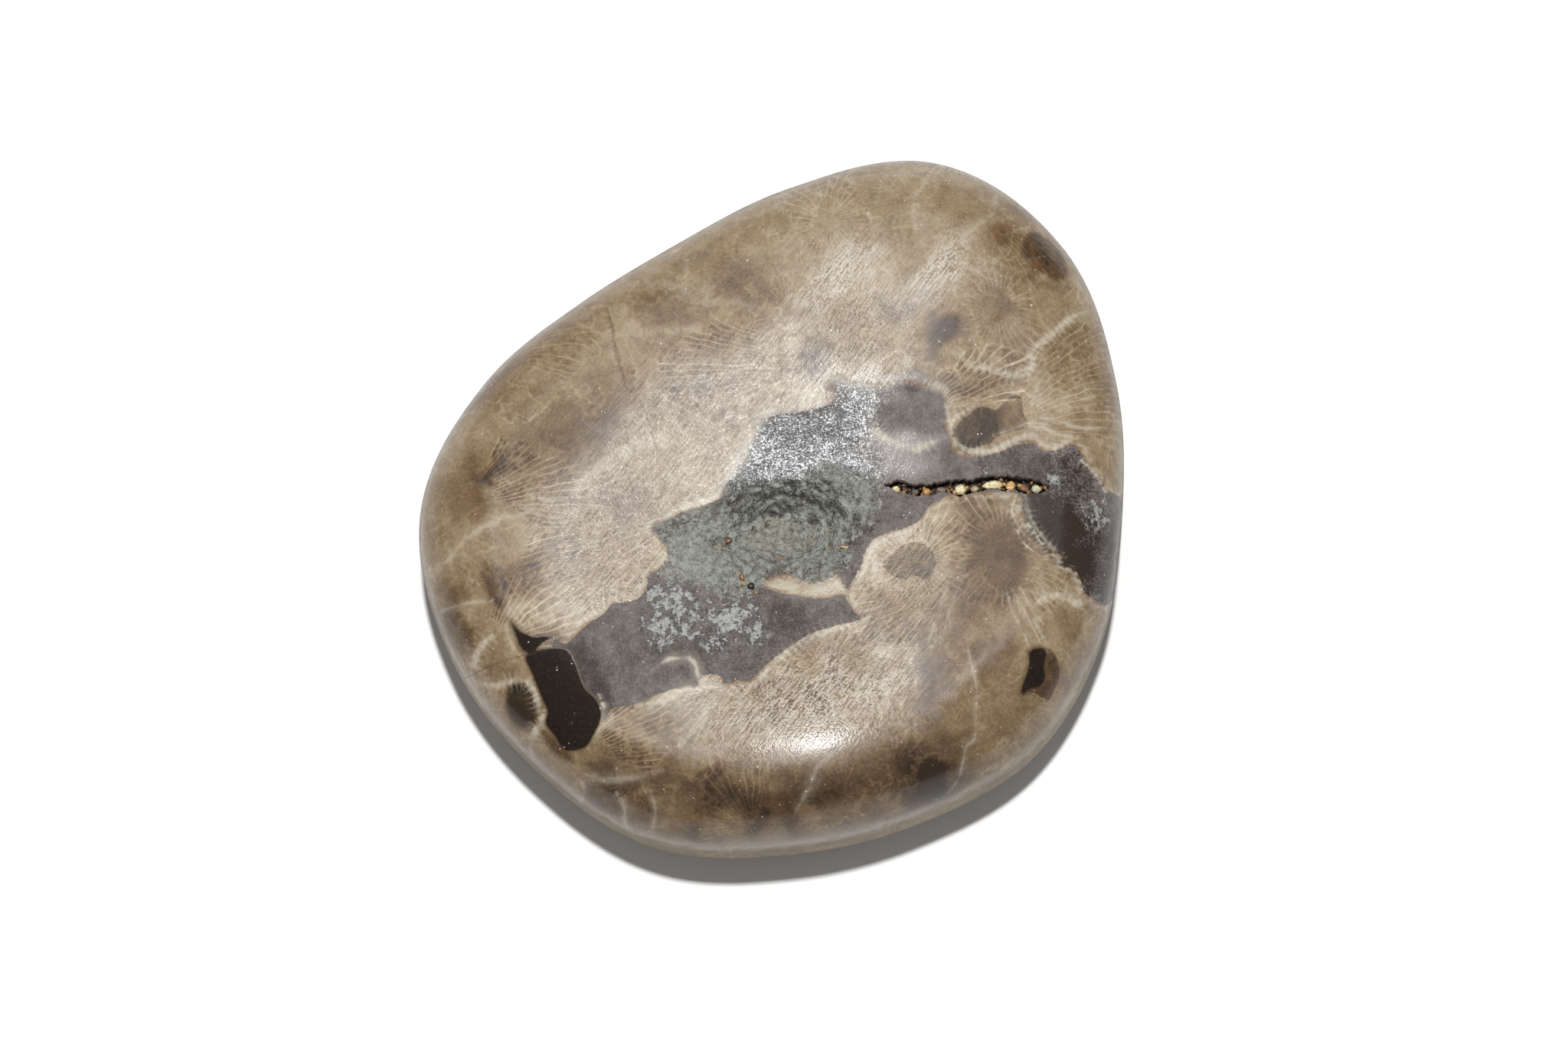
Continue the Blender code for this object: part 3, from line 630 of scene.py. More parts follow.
def height_at(x, y):
    """Height of the polished top at one place."""
    return float(crown_height(np.array([x]), np.array([y]))[0])


def share_of_pit(x, y):
    """Distance from the pit's centre: 1 on its rim."""
    return np.hypot((x - PIT_CENTRE[0]) / PIT_HALF_SIZE[0], (y - PIT_CENTRE[1]) / PIT_HALF_SIZE[1])


def pit_drop(x, y):
    """How far the pit's bowl lies below the polished top."""
    wander = PIT_WANDER * field(x, y, PIT_NOISE_LEVEL, PIT_WANDER_SIZE)
    inside = 1.0 - share_of_pit(x, y) + wander
    northing = np.clip((y - PIT_CENTRE[1]) / PIT_HALF_SIZE[1], -1.0, 1.0)
    return PIT_DEPTH * smooth_step(inside / (PIT_WALL - PIT_FAR_WALL_STEEPNESS * northing))


def points_on_stone(directions):
    """The points of the stone's surface in these directions from its middle."""
    x, y, z = directions.T
    crown = z >= 0.0
    squareness = np.where(crown, CROWN_SQUARENESS, BASE_SQUARENESS)
    half_height = np.where(crown, CROWN_HEIGHT, EDGE_HEIGHT + REST_CUT)
    across = np.hypot(x, y) / edge_radius(np.arctan2(y, x))
    up = np.abs(EDGE_FINENESS * z) / half_height
    scale = (across ** squareness + up ** squareness) ** (-1.0 / squareness)
    x, y, up = x * scale, y * scale, up * scale
    base = EDGE_HEIGHT - half_height * up + (1.0 - up) * edge_wander(x, y)
    top = crown_height(x, y) - pit_drop(x, y)
    return np.column_stack((x, y, np.where(crown, top, base)))


def crack_course(x):
    """The crack's middle and half its width."""
    station_x, middles, half_widths = np.array(CRACK_STATIONS).T
    return np.interp(x, station_x, middles), np.interp(x, station_x, half_widths)


def crack_inset(x, y):
    """How far inside the crack's lips each place is, in millimetres; negative outside."""
    middle, half_width = crack_course(x)
    jags = []
    for row in LIP_NOISE_ROWS:
        rows = np.full_like(x, row)
        jags.append(CRACK_JAG * field(CRACK_JAGS_PER_MM * x, rows, CRACK_NOISE_LEVEL, 1.0))
    sides = np.minimum(y - middle + half_width - jags[0], middle + half_width + jags[1] - y)
    ends = np.minimum(x - CRACK_STATIONS[0][0], CRACK_STATIONS[-1][0] - x)
    return np.minimum(sides, ends)


def allowed_edge(spots):
    """The longest mesh edge allowed at each place on the skin."""
    x, y, z = spots.T
    on_top = z > TOP_ABOVE
    allowed = np.where(on_top, TOP_EDGE, SIDE_EDGE)
    allowed = np.where(on_top & (share_of_pit(x, y) < PIT_REACH), PIT_EDGE, allowed)
    return np.where(on_top & (crack_inset(x, y) > -CRACK_MARGIN), CRACK_EDGE, allowed)


def vert_places(verts):
    return np.array([vert.co for vert in verts])


def skin_mesh():
    """The skin's mesh on the stone's plain form, refined where it carries the most detail."""
    bm = bmesh.new()
    bmesh.ops.create_icosphere(bm, subdivisions=SKIN_SUBDIVISIONS, radius=1.0)
    for vert in bm.verts:
        vert.co.z += SKIN_TOP_SHARE * (1.0 - vert.co.z ** 2)
        vert.co.normalize()
    spots = points_on_stone(vert_places(bm.verts))
    for _ in range(SKIN_PASSES):
        ends = np.array([(edge.verts[0].index, edge.verts[1].index) for edge in bm.edges])
        start, end = spots[ends[:, 0]], spots[ends[:, 1]]
        too_long = np.linalg.norm(end - start, axis=1) > allowed_edge(0.5 * (start + end))
        bm.edges.ensure_lookup_table()
        split = [bm.edges[index] for index in np.flatnonzero(too_long)]
        bmesh.ops.subdivide_edges(bm, edges=split, cuts=1, use_grid_fill=True)
        bmesh.ops.triangulate(bm, faces=[face for face in bm.faces if len(face.verts) > 3])
        bm.verts.index_update()
        bm.verts.ensure_lookup_table()
        added = bm.verts[len(spots):]
        for vert in added:
            vert.co.normalize()
        if added:
            spots = np.vstack((spots, points_on_stone(vert_places(added))))
    for vert, spot in zip(bm.verts, spots):
        vert.co = spot
    return bm


def smooth_path(points, closed):
    """A smooth curve through the points, as short straight steps."""
    if closed:
        points = np.vstack((points[-1:], points, points[:2]))
    else:
        points = np.vstack((points[:1], points, points[-1:]))
    shares = np.arange(PATH_STEPS) / PATH_STEPS
    path = [through(*points[k:k + 4], t) for k in range(len(points) - 3) for t in shares]
    return np.array(path + [points[-2]])


class Photo:
    """Finds the place on the stone that the photo shows at a pixel."""

    def __init__(self, bm):
        self.tree = BVHTree.FromBMesh(bm)
        self.right = Vector((1.0, 0.0, 0.0))
        self.up = CAMERA_BACK.cross(self.right)
        self.eye = CAMERA_TARGET + CAMERA_DISTANCE * CAMERA_BACK

    def place(self, pixel):
        across = (pixel[0] - 0.5 * PHOTO_SIZE[0]) * MM_PER_PIXEL
        above = (0.5 * PHOTO_SIZE[1] - pixel[1]) * MM_PER_PIXEL
        aim = CAMERA_TARGET + across * self.right + above * self.up
        ray = (aim - self.eye).normalized()
        spot = self.tree.ray_cast(self.eye, ray)[0]
        if spot is None:
            beside = self.eye + ray * ((EDGE_HEIGHT - self.eye.z) / ray.z)
            spot = self.tree.find_nearest(beside)[0]
        return np.array(spot)

    def path(self, course, closed):
        """The course of a mark on the chart."""
        pixels = np.reshape(course, (-1, 2)).tolist()
        return smooth_path(chart(np.array([self.place(pixel) for pixel in pixels])), closed)


def chart(places):
    """The stone's surface unrolled flat: how far out each place is, going down the side too."""
    x, y, z = places.T
    angle = np.arctan2(y, x)
    out = np.hypot(x, y)
    under = z < EDGE_HEIGHT + edge_wander(x, y)
    reach = np.where(under, 2.0 * edge_radius(angle) - out, out) + np.maximum(CHART_SHOULDER - z, 0.0)
    return np.column_stack((reach * np.cos(angle), reach * np.sin(angle)))


def near_path(spots, path, reach):
    """Which spots lie in the path's box, widened by this reach."""
    low, high = path.min(axis=0) - reach, path.max(axis=0) + reach
    return np.flatnonzero(np.all((spots > low) & (spots < high), axis=1))


def inside_distance(spots, path):
    """Distance of each spot from a closed path: positive inside it, negative outside."""
    result = np.full(len(spots), -FAR)
    near = near_path(spots, path, FAR)
    x, y = spots[near].T
    nearest = np.full(len(near), FAR)
    inside = np.zeros(len(near), bool)
    for (ax, ay), (bx, by) in zip(path, path[1:]):
        run, rise = bx - ax, by - ay
        length = run * run + rise * rise
        if length == 0.0:
            continue
        along = np.clip(((x - ax) * run + (y - ay) * rise) / length, 0.0, 1.0)
        nearest = np.minimum(nearest, np.hypot(x - ax - along * run, y - ay - along * rise))
        if ay != by:
            inside ^= ((ay > y) != (by > y)) & (x < ax + run * (y - ay) / rise)
    result[near] = np.where(inside, nearest, -nearest)
    return result


def blot(spots, photo, x, y, half_width, half_height, turn):
    """A soft round patch: 1 at its middle, falling to 0 at twice its half size."""
    turned = math.radians(turn)
    across = spots - chart(photo.place((x, y))[None, :])[0]
    along = across[:, 0] * math.cos(turned) - across[:, 1] * math.sin(turned)
    aside = across[:, 0] * math.sin(turned) + across[:, 1] * math.cos(turned)
    reach = np.hypot(along / half_width, aside / half_height) / MM_PER_PIXEL
    return 1.0 - smooth_step(0.5 * reach)


def seam_fields(middles, corners, photo, seams):
    """For each face corner: how far aside of the nearest seam it is, in half widths with a sign,
    how far along that seam it is where the seam is a comb, and how strong the seam is."""
    nearest = np.full(len(middles), SEAM_REACH)
    aside = np.full((len(middles), 3), SEAM_REACH)
    onward = np.zeros((len(middles), 3))
    power = np.zeros((len(middles), 3))
    for toothed, (half_width, strength, *course) in seams:
        path = photo.path(course, closed=False)
        near = near_path(middles, path, SEAM_MARGIN)
        steps = len(path) - 1
        travelled = 0.0
        for index, (a, b) in enumerate(zip(path, path[1:])):
            run = b - a
            length = np.hypot(*run)
            if length < 1e-6:
                continue
            across = middles[near] - a
            along = (across @ run) / length ** 2
            clamped = np.clip(along, 0.0, 1.0)
            distance = np.linalg.norm(across - clamped[:, None] * run, axis=1) / half_width
            past_end = ((index == 0) & (along < 0.0)) | ((index == steps - 1) & (along > 1.0))
            closer = (distance < nearest[near]) & ~past_end
            chosen = near[closer]
            nearest[chosen] = distance[closer]
            from_start = corners[chosen] - a
            side = (run[0] * from_start[..., 1] - run[1] * from_start[..., 0]) / length
            share = (index + clamped[closer]) / steps
            to_end = np.minimum(share, 1.0 - share)[:, None]
            aside[chosen] = side / (half_width * np.minimum(1.0, 0.35 + 4.0 * to_end))
            onward[chosen] = travelled + from_start @ run / length if toothed else 0.0
            power[chosen] = strength * np.minimum(1.0, 8.0 * to_end)
            travelled += length
    return np.clip(aside, -SEAM_REACH, SEAM_REACH).ravel(), onward.ravel(), power.ravel()


class Cells:
    """The coral's cells: where each one is, where its plates meet, and how it looks."""

    def __init__(self, photo, bm):
        self.sites, self.hubs, self.normals, self.tones, self.looks = [], [], [], [], []
        for kind, (_, cells) in CELLS.items():
            for cell in cells:
                self.add(photo, kind, photo.place(cell[:2]), photo.place(cell[-2:]))
        draw = random.Random(SEED)
        order = list(range(len(bm.verts)))
        draw.shuffle(order)
        for index in order[:UNSEEN_CELL_TRIES]:
            spot = np.array(bm.verts[index].co)
            if np.linalg.norm(np.array(self.sites) - spot, axis=1).min() > UNSEEN_CELL_SPACING:
                self.add(photo, draw.choice(UNSEEN_KINDS), spot, spot)

    def add(self, photo, kind, site, hub):
        tone, *look, spacing = CELLS[kind][0]
        reach = max(MIN_CELL_REACH, float(np.linalg.norm(site - hub)) + 0.5)
        self.sites.append(site)
        self.hubs.append(hub)
        self.normals.append(np.array(photo.tree.find_nearest(Vector(hub))[1]))
        self.tones.append(tone)
        self.looks.append((*look, round(math.tau * reach / spacing)))

    def gaps(self, places):
        return np.array([np.linalg.norm(places - site, axis=1) for site in self.sites])

    def soft_tones(self, places):
        """The cells' tones, each running a little way into the next."""
        gaps = self.gaps(warp(places, 2.2, 1.3))
        weights = np.exp((gaps.min(axis=0) - gaps) / TONE_RUN)
        return np.array(self.tones) @ weights / weights.sum(axis=0)

    def corner_fields(self, places, faces):
        """For each face corner: its place in its cell, the wall's distance, and the cell's look."""
        corners = warp(places, 2.6, 0.9)[faces]
        own, other = np.argpartition(self.gaps(corners.mean(axis=1)), (0, 1), axis=0)[:2]
        sites, hubs, normals = np.array(self.sites), np.array(self.hubs), np.array(self.normals)
        to_own = np.linalg.norm(corners - sites[own][:, None], axis=2)
        to_other = np.linalg.norm(corners - sites[other][:, None], axis=2)
        east = np.cross((0.0, 1.0, 0.0), normals)
        east /= np.linalg.norm(east, axis=1)[:, None]
        north = np.cross(normals, east)
        from_hub = places[faces] - hubs[own][:, None]
        fields = {
            "cell_x": np.einsum("fck,fk->fc", from_hub, east[own]),
            "cell_y": np.einsum("fck,fk->fc", from_hub, north[own]),
            "wall_distance": 0.5 * (to_other - to_own),
        }
        looks = np.repeat(np.array(self.looks)[own], 3, axis=0)
        return fields | dict(zip(LOOK_NAMES, looks.T))


def put_field(mesh, name, values):
    """Stores a number for each vertex or each face corner, for the material to read."""
    values = np.ascontiguousarray(values, np.float32).ravel()
    domain = "POINT" if len(values) == len(mesh.vertices) else "CORNER"
    mesh.attributes.new(name, "FLOAT", domain).data.foreach_set("value", values)


def mark_fields(photo, spots):
    """The marks on the stone, each as one number for every place on the chart."""
    loose = warp(np.column_stack((spots, np.full(len(spots), 5.0))), DRIFT_SIZE, DRIFT)[:, :2]

    def inside(outline, places=spots):
        return inside_distance(places, photo.path(outline, True))

    def strongest(blots, places=loose):
        return np.max([blot(places, photo, *place) for place in blots], axis=0)

    marks = {name: np.max([inside(line) for line in lines], axis=0) for name, lines in OUTLINES.items()}
    marks["band"] = np.minimum(marks["band"], -marks.pop("island"))
    marks["ink"] = np.max([inside(outline) / soft for soft, *outline in INK_SPOTS], axis=0)
    tone = np.zeros(len(spots))
    for change, soft, *outline in TONE_AREAS:
        distance = inside(outline, loose if soft > CRISP_EDGE else spots)
        tone += change * smooth_step(0.5 + 0.5 * distance / soft)
    for *place, change in TONE_BLOTS:
        tone += change * blot(loose, photo, *place)
    marks["shade"] = tone
    marks["dull"] = strongest(DULL) - strongest(SHINY)
    marks["polish"] = strongest(POLISH, spots)
    for kind, stains in STAINS.items():
        stain = [strength * blot(loose, photo, *place) for *place, strength in stains]
        marks[kind] = np.max(stain, axis=0)
    return marks


def lumps(x, y, near, size, level):
    """Rounded lumps with creases between them: 1 on each, 0 in the creases, only where near."""
    heights = np.zeros(len(x))
    for index in np.flatnonzero(near).tolist():
        gaps = noise.voronoi(Vector((x[index], y[index], level)) / size)[0]
        heights[index] = gaps[1] - gaps[0]
    return smooth_step(1.6 * heights)


def crust_relief(x, y, crust):
    """The pit's ripples and the crust's lumps: their height, and how deep it is between them, for the
    shade painted into the creases.
    """
    share = share_of_pit(x, y)
    upper_wall = smooth_step((y - PIT_CENTRE[1]) / 2.5 + 0.6)
    ripple_band = smooth_step(4.0 * (share - 0.12)) * smooth_step(2.5 * (1.15 - share))
    swing = np.arctan2(y - PIT_CENTRE[1], x - PIT_CENTRE[0])
    ripple = field(3.2 * swing, 15.0 * share + 0.8 * np.sin(2.0 * swing), 2.0, 1.0)
    ripples = ripple * ripple_band * (0.25 + 0.75 * upper_wall) * crust
    popcorn = lumps(x, y, crust > 0.0, LUMP_SIZE, 9.0) - 0.5
    popcorn *= 0.45 + 0.55 * smooth_step(1.6 * share - 0.3)
    fine = field(x, y, 5.0, FINE_LUMP_SIZE)
    height = RIPPLE_HEIGHT * ripples + crust * (LUMP_HEIGHT * popcorn + FINE_LUMP_HEIGHT * fine)
    return height, crust * (-0.9 * popcorn - 1.6 * ripples - 0.6 * fine)


def fine_relief(places, marks):
    """Height added to the plain form; how far each place lies in the crack; and how deep it lies
    between the crust's lumps, which darkens the crust there as painted shade."""
    x, y, z = places.T
    on_top = z > TOP_ABOVE
    ragged_edge = marks["crust"] + 0.5 * field(x, y, 8.0, 1.3)
    relief, trough = crust_relief(x, y, smooth_step(0.5 + ragged_edge / 0.5) * on_top)
    residue = smooth_step(0.5 + marks["residue"] / 0.8) * on_top
    relief += RESIDUE_HEIGHT * residue * smooth_step(0.5 + 2.0 * field(x, y, 3.0, 0.9))
    lip_noise = 0.32 * field(x, y, 7.0, 1.2) + 0.16 * field(x, y, 7.5, 0.45)
    inset = np.minimum(crack_inset(x, y - NEAR_LIP_RAISED), crack_inset(x, y))
    inset = np.where(on_top, inset - CRACK_DRAWN_IN + lip_noise, -FAR)
    sunk = smooth_step(inset / CRACK_WALL + 0.2)
    relief += sunk * (0.5 * field(x, y, 6.0, 0.5) - CRACK_DEPTH)
    return relief, sunk, trough


def kept_inside(places):
    """The skin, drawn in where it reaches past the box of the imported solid."""
    low, high = (np.array(corner) / MM for corner in cad_box)
    reach_low, reach_high = places.min(axis=0), places.max(axis=0)
    middle = np.array((0.0, 0.0, EDGE_HEIGHT))
    shrink_low = np.minimum(1.0, (middle - low) / (middle - reach_low))
    shrink_high = np.minimum(1.0, (high - middle) / (reach_high - middle))
    out = places - middle
    return middle + np.where(out < 0.0, out * shrink_low, out * shrink_high)


def cut_rest_spot(bm):
    """Cuts the rounded base off flat at the surface it rests on."""
    whole = bm.verts[:] + bm.edges[:] + bm.faces[:]
    cut = bmesh.ops.bisect_plane(
        bm, geom=whole, plane_co=(0.0, 0.0, 0.0), plane_no=(0.0, 0.0, -1.0), clear_outer=True
    )
    rim = [part for part in cut["geom_cut"] if isinstance(part, bmesh.types.BMEdge)]
    bmesh.ops.contextual_create(bm, geom=rim)
    bmesh.ops.triangulate(bm, faces=[face for face in bm.faces if len(face.verts) > 3])


def finished_mesh(name, bm):
    mesh = bpy.data.meshes.new(name)
    bm.to_mesh(mesh)
    bm.free()
    return mesh


def add_piece(mesh, replaced=()):
    """Puts a finished piece on the stone's body, in metres."""
    mesh.transform(Matrix.Scale(MM, 4))
    mesh.shade_smooth()
    piece = bpy.data.objects.new(mesh.name, mesh)
    bpy.context.scene.collection.objects.link(piece)
    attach(piece, "root")
    if replaced:
        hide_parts(*replaced)


def make_skin():
    bm = skin_mesh()
    cut_rest_spot(bm)
    bm.verts.ensure_lookup_table()
    bm.verts.index_update()
    photo = Photo(bm)
    cells = Cells(photo, bm)
    places = vert_places(bm.verts)
    faces = np.array([[vert.index for vert in face.verts] for face in bm.faces])
    mesh = finished_mesh("coral_skin", bm)
    spots = chart(places)
    fields = mark_fields(photo, spots)
    fields["tone"] = fields["shade"] + cells.soft_tones(places)
    relief, fields["sunk"], fields["trough"] = fine_relief(places, fields)
    fields |= cells.corner_fields(places, faces)
    corners = spots[faces]
    middles = corners.mean(axis=1)
    seams = [(False, seam) for seam in PALE_SEAMS] + [(True, seam) for seam in COMB_SEAMS]
    fields["seam"], fields["onward"], fields["seam_power"] = seam_fields(middles, corners, photo, seams)
    hairs = [(False, (half_width, 1.0, *course)) for half_width, *course in HAIRLINES]
    fields["hair"] = seam_fields(middles, corners, photo, hairs)[0]
    for name, values in fields.items():
        put_field(mesh, name, values)
    places[:, 2] += relief
    places = kept_inside(places)
    mesh.vertices.foreach_set("co", places.ravel())
    mesh.update()
    add_piece(mesh, ("petoskey_stone",))
    mesh.materials.append(coral_finish(fields))
    return photo, places


class Amount:
    """A number or a colour that varies over a surface: numbers take part in sums as usual."""

    def __init__(self, nodes, socket):
        self.nodes = nodes
        self.socket = socket

    def __add__(self, other):
        return self.nodes.calc("ADD", self, other)

    def __sub__(self, other):
        return self.nodes.calc("SUBTRACT", self, other)

    def __rsub__(self, other):
        return self.nodes.calc("SUBTRACT", other, self)

    def __mul__(self, other):
        return self.nodes.calc("MULTIPLY", self, other)

    def __truediv__(self, other):
        return self.nodes.calc("DIVIDE", self, other)

    def __abs__(self):
        return self.nodes.calc("ABSOLUTE", self)

    __radd__ = __add__
    __rmul__ = __mul__


class Nodes:
    """A node tree, with short calls that add its nodes and link them."""

    def __init__(self, tree):
        self.tree = tree

    def plug(self, socket, value):
        if isinstance(value, Amount):
            self.tree.links.new(value.socket, socket)
        else:
            socket.default_value = value

    def node(self, kind, inputs=(), **settings):
        """A new node with these settings, and these values in its inputs."""
        node = self.tree.nodes.new("ShaderNode" + kind)
        for name, setting in settings.items():
            setattr(node, name, setting)
        for socket, value in dict(inputs).items():
            self.plug(node.inputs[socket], value)
        return node

    def read(self, output, *node, **settings):
        """One output of a new node."""
        return Amount(self, self.node(*node, **settings).outputs[output])

    def parts(self, kind, vector):
        """The separate numbers of a vector or a colour."""
        split = self.node("Separate" + kind, {0: vector})
        return [Amount(self, output) for output in split.outputs]

    def calc(self, operation, *values):
        return self.read(0, "Math", enumerate(values), operation=operation)

    def rise(self, value, low, high):
        """0 at low, 1 at high and smooth between; falls instead where high is below low."""
        inputs = enumerate((value, low, high))
        return self.read(0, "MapRange", inputs, interpolation_type="SMOOTHSTEP")

    def mix(self, share, a, b):
        """A colour between a and b."""
        a, b = (end if isinstance(end, Amount) else (*end, 1.0) for end in (a, b))
        return self.read(2, "Mix", {0: share, 6: a, 7: b}, data_type="RGBA")

    def blend(self, share, a, b):
        """A number between a and b."""
        return a + share * (b - a)


class Finish(Nodes):
    """A material. Its patterns take sizes in millimetres."""

    def __init__(self, name):
        self.material = bpy.data.materials.new(name)
        self.material.use_nodes = True
        super().__init__(self.material.node_tree)
        self.shader = self.tree.nodes["Principled BSDF"]
        place = self.read("Object", "TexCoord")
        self.place = self.read(0, "VectorMath", {0: place, "Scale": 1.0 / MM}, operation="SCALE")

    def mark(self, name):
        """A field stored on the mesh."""
        return self.read("Fac", "Attribute", attribute_name=name)

    def noise(self, output, size, detail, shift, roughness):
        shifts = (shift, 1.7 * shift, 2.3 * shift)
        moved = self.read(0, "VectorMath", {0: self.place, 1: shifts}, operation="ADD")
        inputs = {"Vector": moved, "Scale": 1.0 / size, "Detail": detail, "Roughness": roughness}
        return self.read(output, "TexNoise", inputs)

    def grain(self, size, detail=2.0, shift=0.0, roughness=0.5):
        """Noise about zero, mostly between -0.25 and 0.25, with features of this size."""
        return self.noise("Fac", size, detail, shift, roughness) - 0.5

    def streaks(self, width, length, turn, shift):
        """Noise about zero drawn out into streaks at this angle to the x axis, in degrees."""
        inputs = {
            "Vector": self.place, "Location": (shift, shift, shift),
            "Rotation": (0.0, 0.0, math.radians(turn)), "Scale": (length, width, width),
        }
        stretched = self.read(0, "Mapping", inputs, vector_type="TEXTURE")
        return self.read("Fac", "TexNoise", {"Vector": stretched, "Scale": 1.0, "Detail": 2.0}) - 0.5

    def sway(self, size, shift):
        """Two noises about zero, to bend a pattern with."""
        red, green, _ = self.parts("Color", self.noise("Color", size, 1.0, shift, 0.5))
        return red - 0.5, green - 0.5

    def chance(self, number):
        """A random value between 0 and 1 for each whole number."""
        return self.read("Value", "TexWhiteNoise", {"W": number}, noise_dimensions="1D")

    def chips(self, size):
        """Distance from the nearest of many scattered points."""
        return self.read("Distance", "TexVoronoi", {"Vector": self.place, "Scale": 1.0 / size})

    def ramp(self, value, *stops):
        """A colour from the stops, each a value and its colour."""
        node = self.node("ValToRGB", {0: value})
        elements = node.color_ramp.elements
        while len(elements) < len(stops):
            elements.new(0.5)
        for element, (position, colour) in zip(elements, stops):
            element.position = position
            element.color = (*colour, 1.0)
        return Amount(self, node.outputs[0])

    def bump(self, height, distance=1.0):
        """Tilts the surface by a height in millimetres."""
        inputs = {"Distance": distance * MM, "Height": height}
        self.plug(self.shader.inputs["Normal"], self.read(0, "Bump", inputs))

    def wear(self, colour, roughness):
        self.plug(self.shader.inputs["Base Color"], colour)
        self.plug(self.shader.inputs["Roughness"], roughness)
        return self.material


def plate_pattern(f):
    """The plates that fan out in a cell, the rungs between them, and how far out each place is."""
    sway_x, sway_y = f.sway(2.6, 3.0)
    x = f.cell_x + PLATE_SWAY * sway_x
    y = f.cell_y + PLATE_SWAY * sway_y
    reach = f.calc("SQRT", x * x + y * y)
    sector = f.plate_count * f.calc("ARCTAN2", y, x) * (1.0 / math.tau)
    f.wave = f.calc("COSINE", math.tau * sector)
    bright = f.chance(f.calc("ROUND", sector))
    lines = f.rise(f.wave, 0.45, 1.0) * f.blend(bright, 0.45, 1.0)
    offset = f.chance(f.calc("FLOOR", sector))
    steps = reach * (1.0 / RUNG_SPACING) + offset + 1.6 * f.grain(1.4, 1.0, 5.0)
    rungs = f.rise(f.calc("COSINE", math.tau * steps), 0.55, 0.98) * (1.0 - lines)
    return reach, lines, rungs


def coral_tone(f):
    """The coral's tone from its cells, plates, cores, walls and cloudy mottling."""
    reach, lines, rungs = plate_pattern(f)
    mottle = f.grain(1.8, 4.0, 13.0, 0.62)
    share = reach / f.core_radius
    patchy = f.rise(f.grain(2.2, 2.0, 7.0), -0.20, 0.10)
    strength = f.plates * f.rise(share, 0.35, 1.1) * f.blend(patchy, 0.55, 1.0)
    rungs = 0.55 * rungs * f.rise(f.grain(1.6, 1.0, 83.0), -0.1, 0.15)
    net = f.calc("MAXIMUM", lines, rungs)
    windows = (1.0 - net) * f.rise(f.grain(1.1, 2.0, 19.0), -0.12, 0.12)
    tone = f.tone + 0.28 * f.grain(7.0, 3.0, 11.0) + 0.34 * mottle
    tone = tone + 0.36 * f.grain(0.32, 3.0, 17.0, 0.65)
    tone = tone + strength * (0.27 * net - 0.22 * windows)
    layers = f.calc("COSINE", (LAYER_COUNT * math.tau) * f.grain(6.5, 2.0, 97.0, 0.45))
    layers = f.rise(layers, 0.30, 1.0) * f.rise(f.grain(4.0, 1.0, 101.0), -0.02, 0.14)
    wisps = f.rise(abs(f.grain(4.2, 3.0, 29.0, 0.55)), 0.030, 0.0)
    wisps = wisps * f.rise(f.grain(5.0, 1.0, 71.0), -0.05, 0.12)
    tone = tone + 0.085 * layers + 0.12 * wisps
    in_core = f.rise((reach + 0.35 * f.wave + 1.2 * mottle) / f.core_radius, 1.05, 0.75)
    on_wall = f.rise(abs(f.wall_distance) + 0.6 * mottle, 0.34, 0.02)
    return tone - f.core * in_core + f.wall * on_wall


def frayed(f, mark, ragged, jagged):
    """A mark whose edge is torn by coarse and by fine noise."""
    return mark + ragged * f.ragged + jagged * f.jagged


def coral_layer(f):
    """The coral, and the rough polish in its dish where fine scratches catch the light: its sheen and
    glints are painted into the colour as well as made by its roughness.
    """
    in_patch = f.rise(frayed(f, f.patch, 0.45, 0.25), -0.08, 0.12)
    f.in_worn = f.rise(f.worn + 1.5 * f.ragged, -1.5, 2.0)
    f.in_satin = f.rise(frayed(f, f.satin, 3.5, 1.5), -2.4, 4.4)
    scratches = f.grit + f.brushed
    tone = coral_tone(f) - 0.31 * in_patch + f.in_satin * (0.50 * f.grit + 0.55 * f.brushed)
    colour = f.ramp(tone, *CORAL_TONES)
    plain = 1.0 - 0.7 * f.calc("MAXIMUM", f.dull, 0.0)
    # A whitish frost over the dish: partly the fine scratches' own whitening, partly painted sheen
    frost_and_sheen = f.rise(scratches, -0.30, 0.25) * f.blend(f.in_satin, 0.10 * f.in_worn, 0.19)
    colour = f.mix(frost_and_sheen * plain, colour, SHEEN_FROST_WHITE)
    # Painted glints: white streaks where the shinier satin's scratches would catch the lamp
    in_shine = f.shine * f.rise(frayed(f, f.satin, 2.0, 2.0), -1.5, 1.0)
    colour = f.mix(0.52 * in_shine * f.rise(scratches, -0.14, 0.18), colour, GLINT_WHITE)
    in_violet = f.rise(frayed(f, f.violet, 0.8, 0.8), 0.10, 0.70)
    colour = f.mix(0.60 * in_violet, colour, VIOLET)
    return f.mix(0.8 * f.rust * f.rise(f.ragged, -0.12, 0.08), colour, RUST)


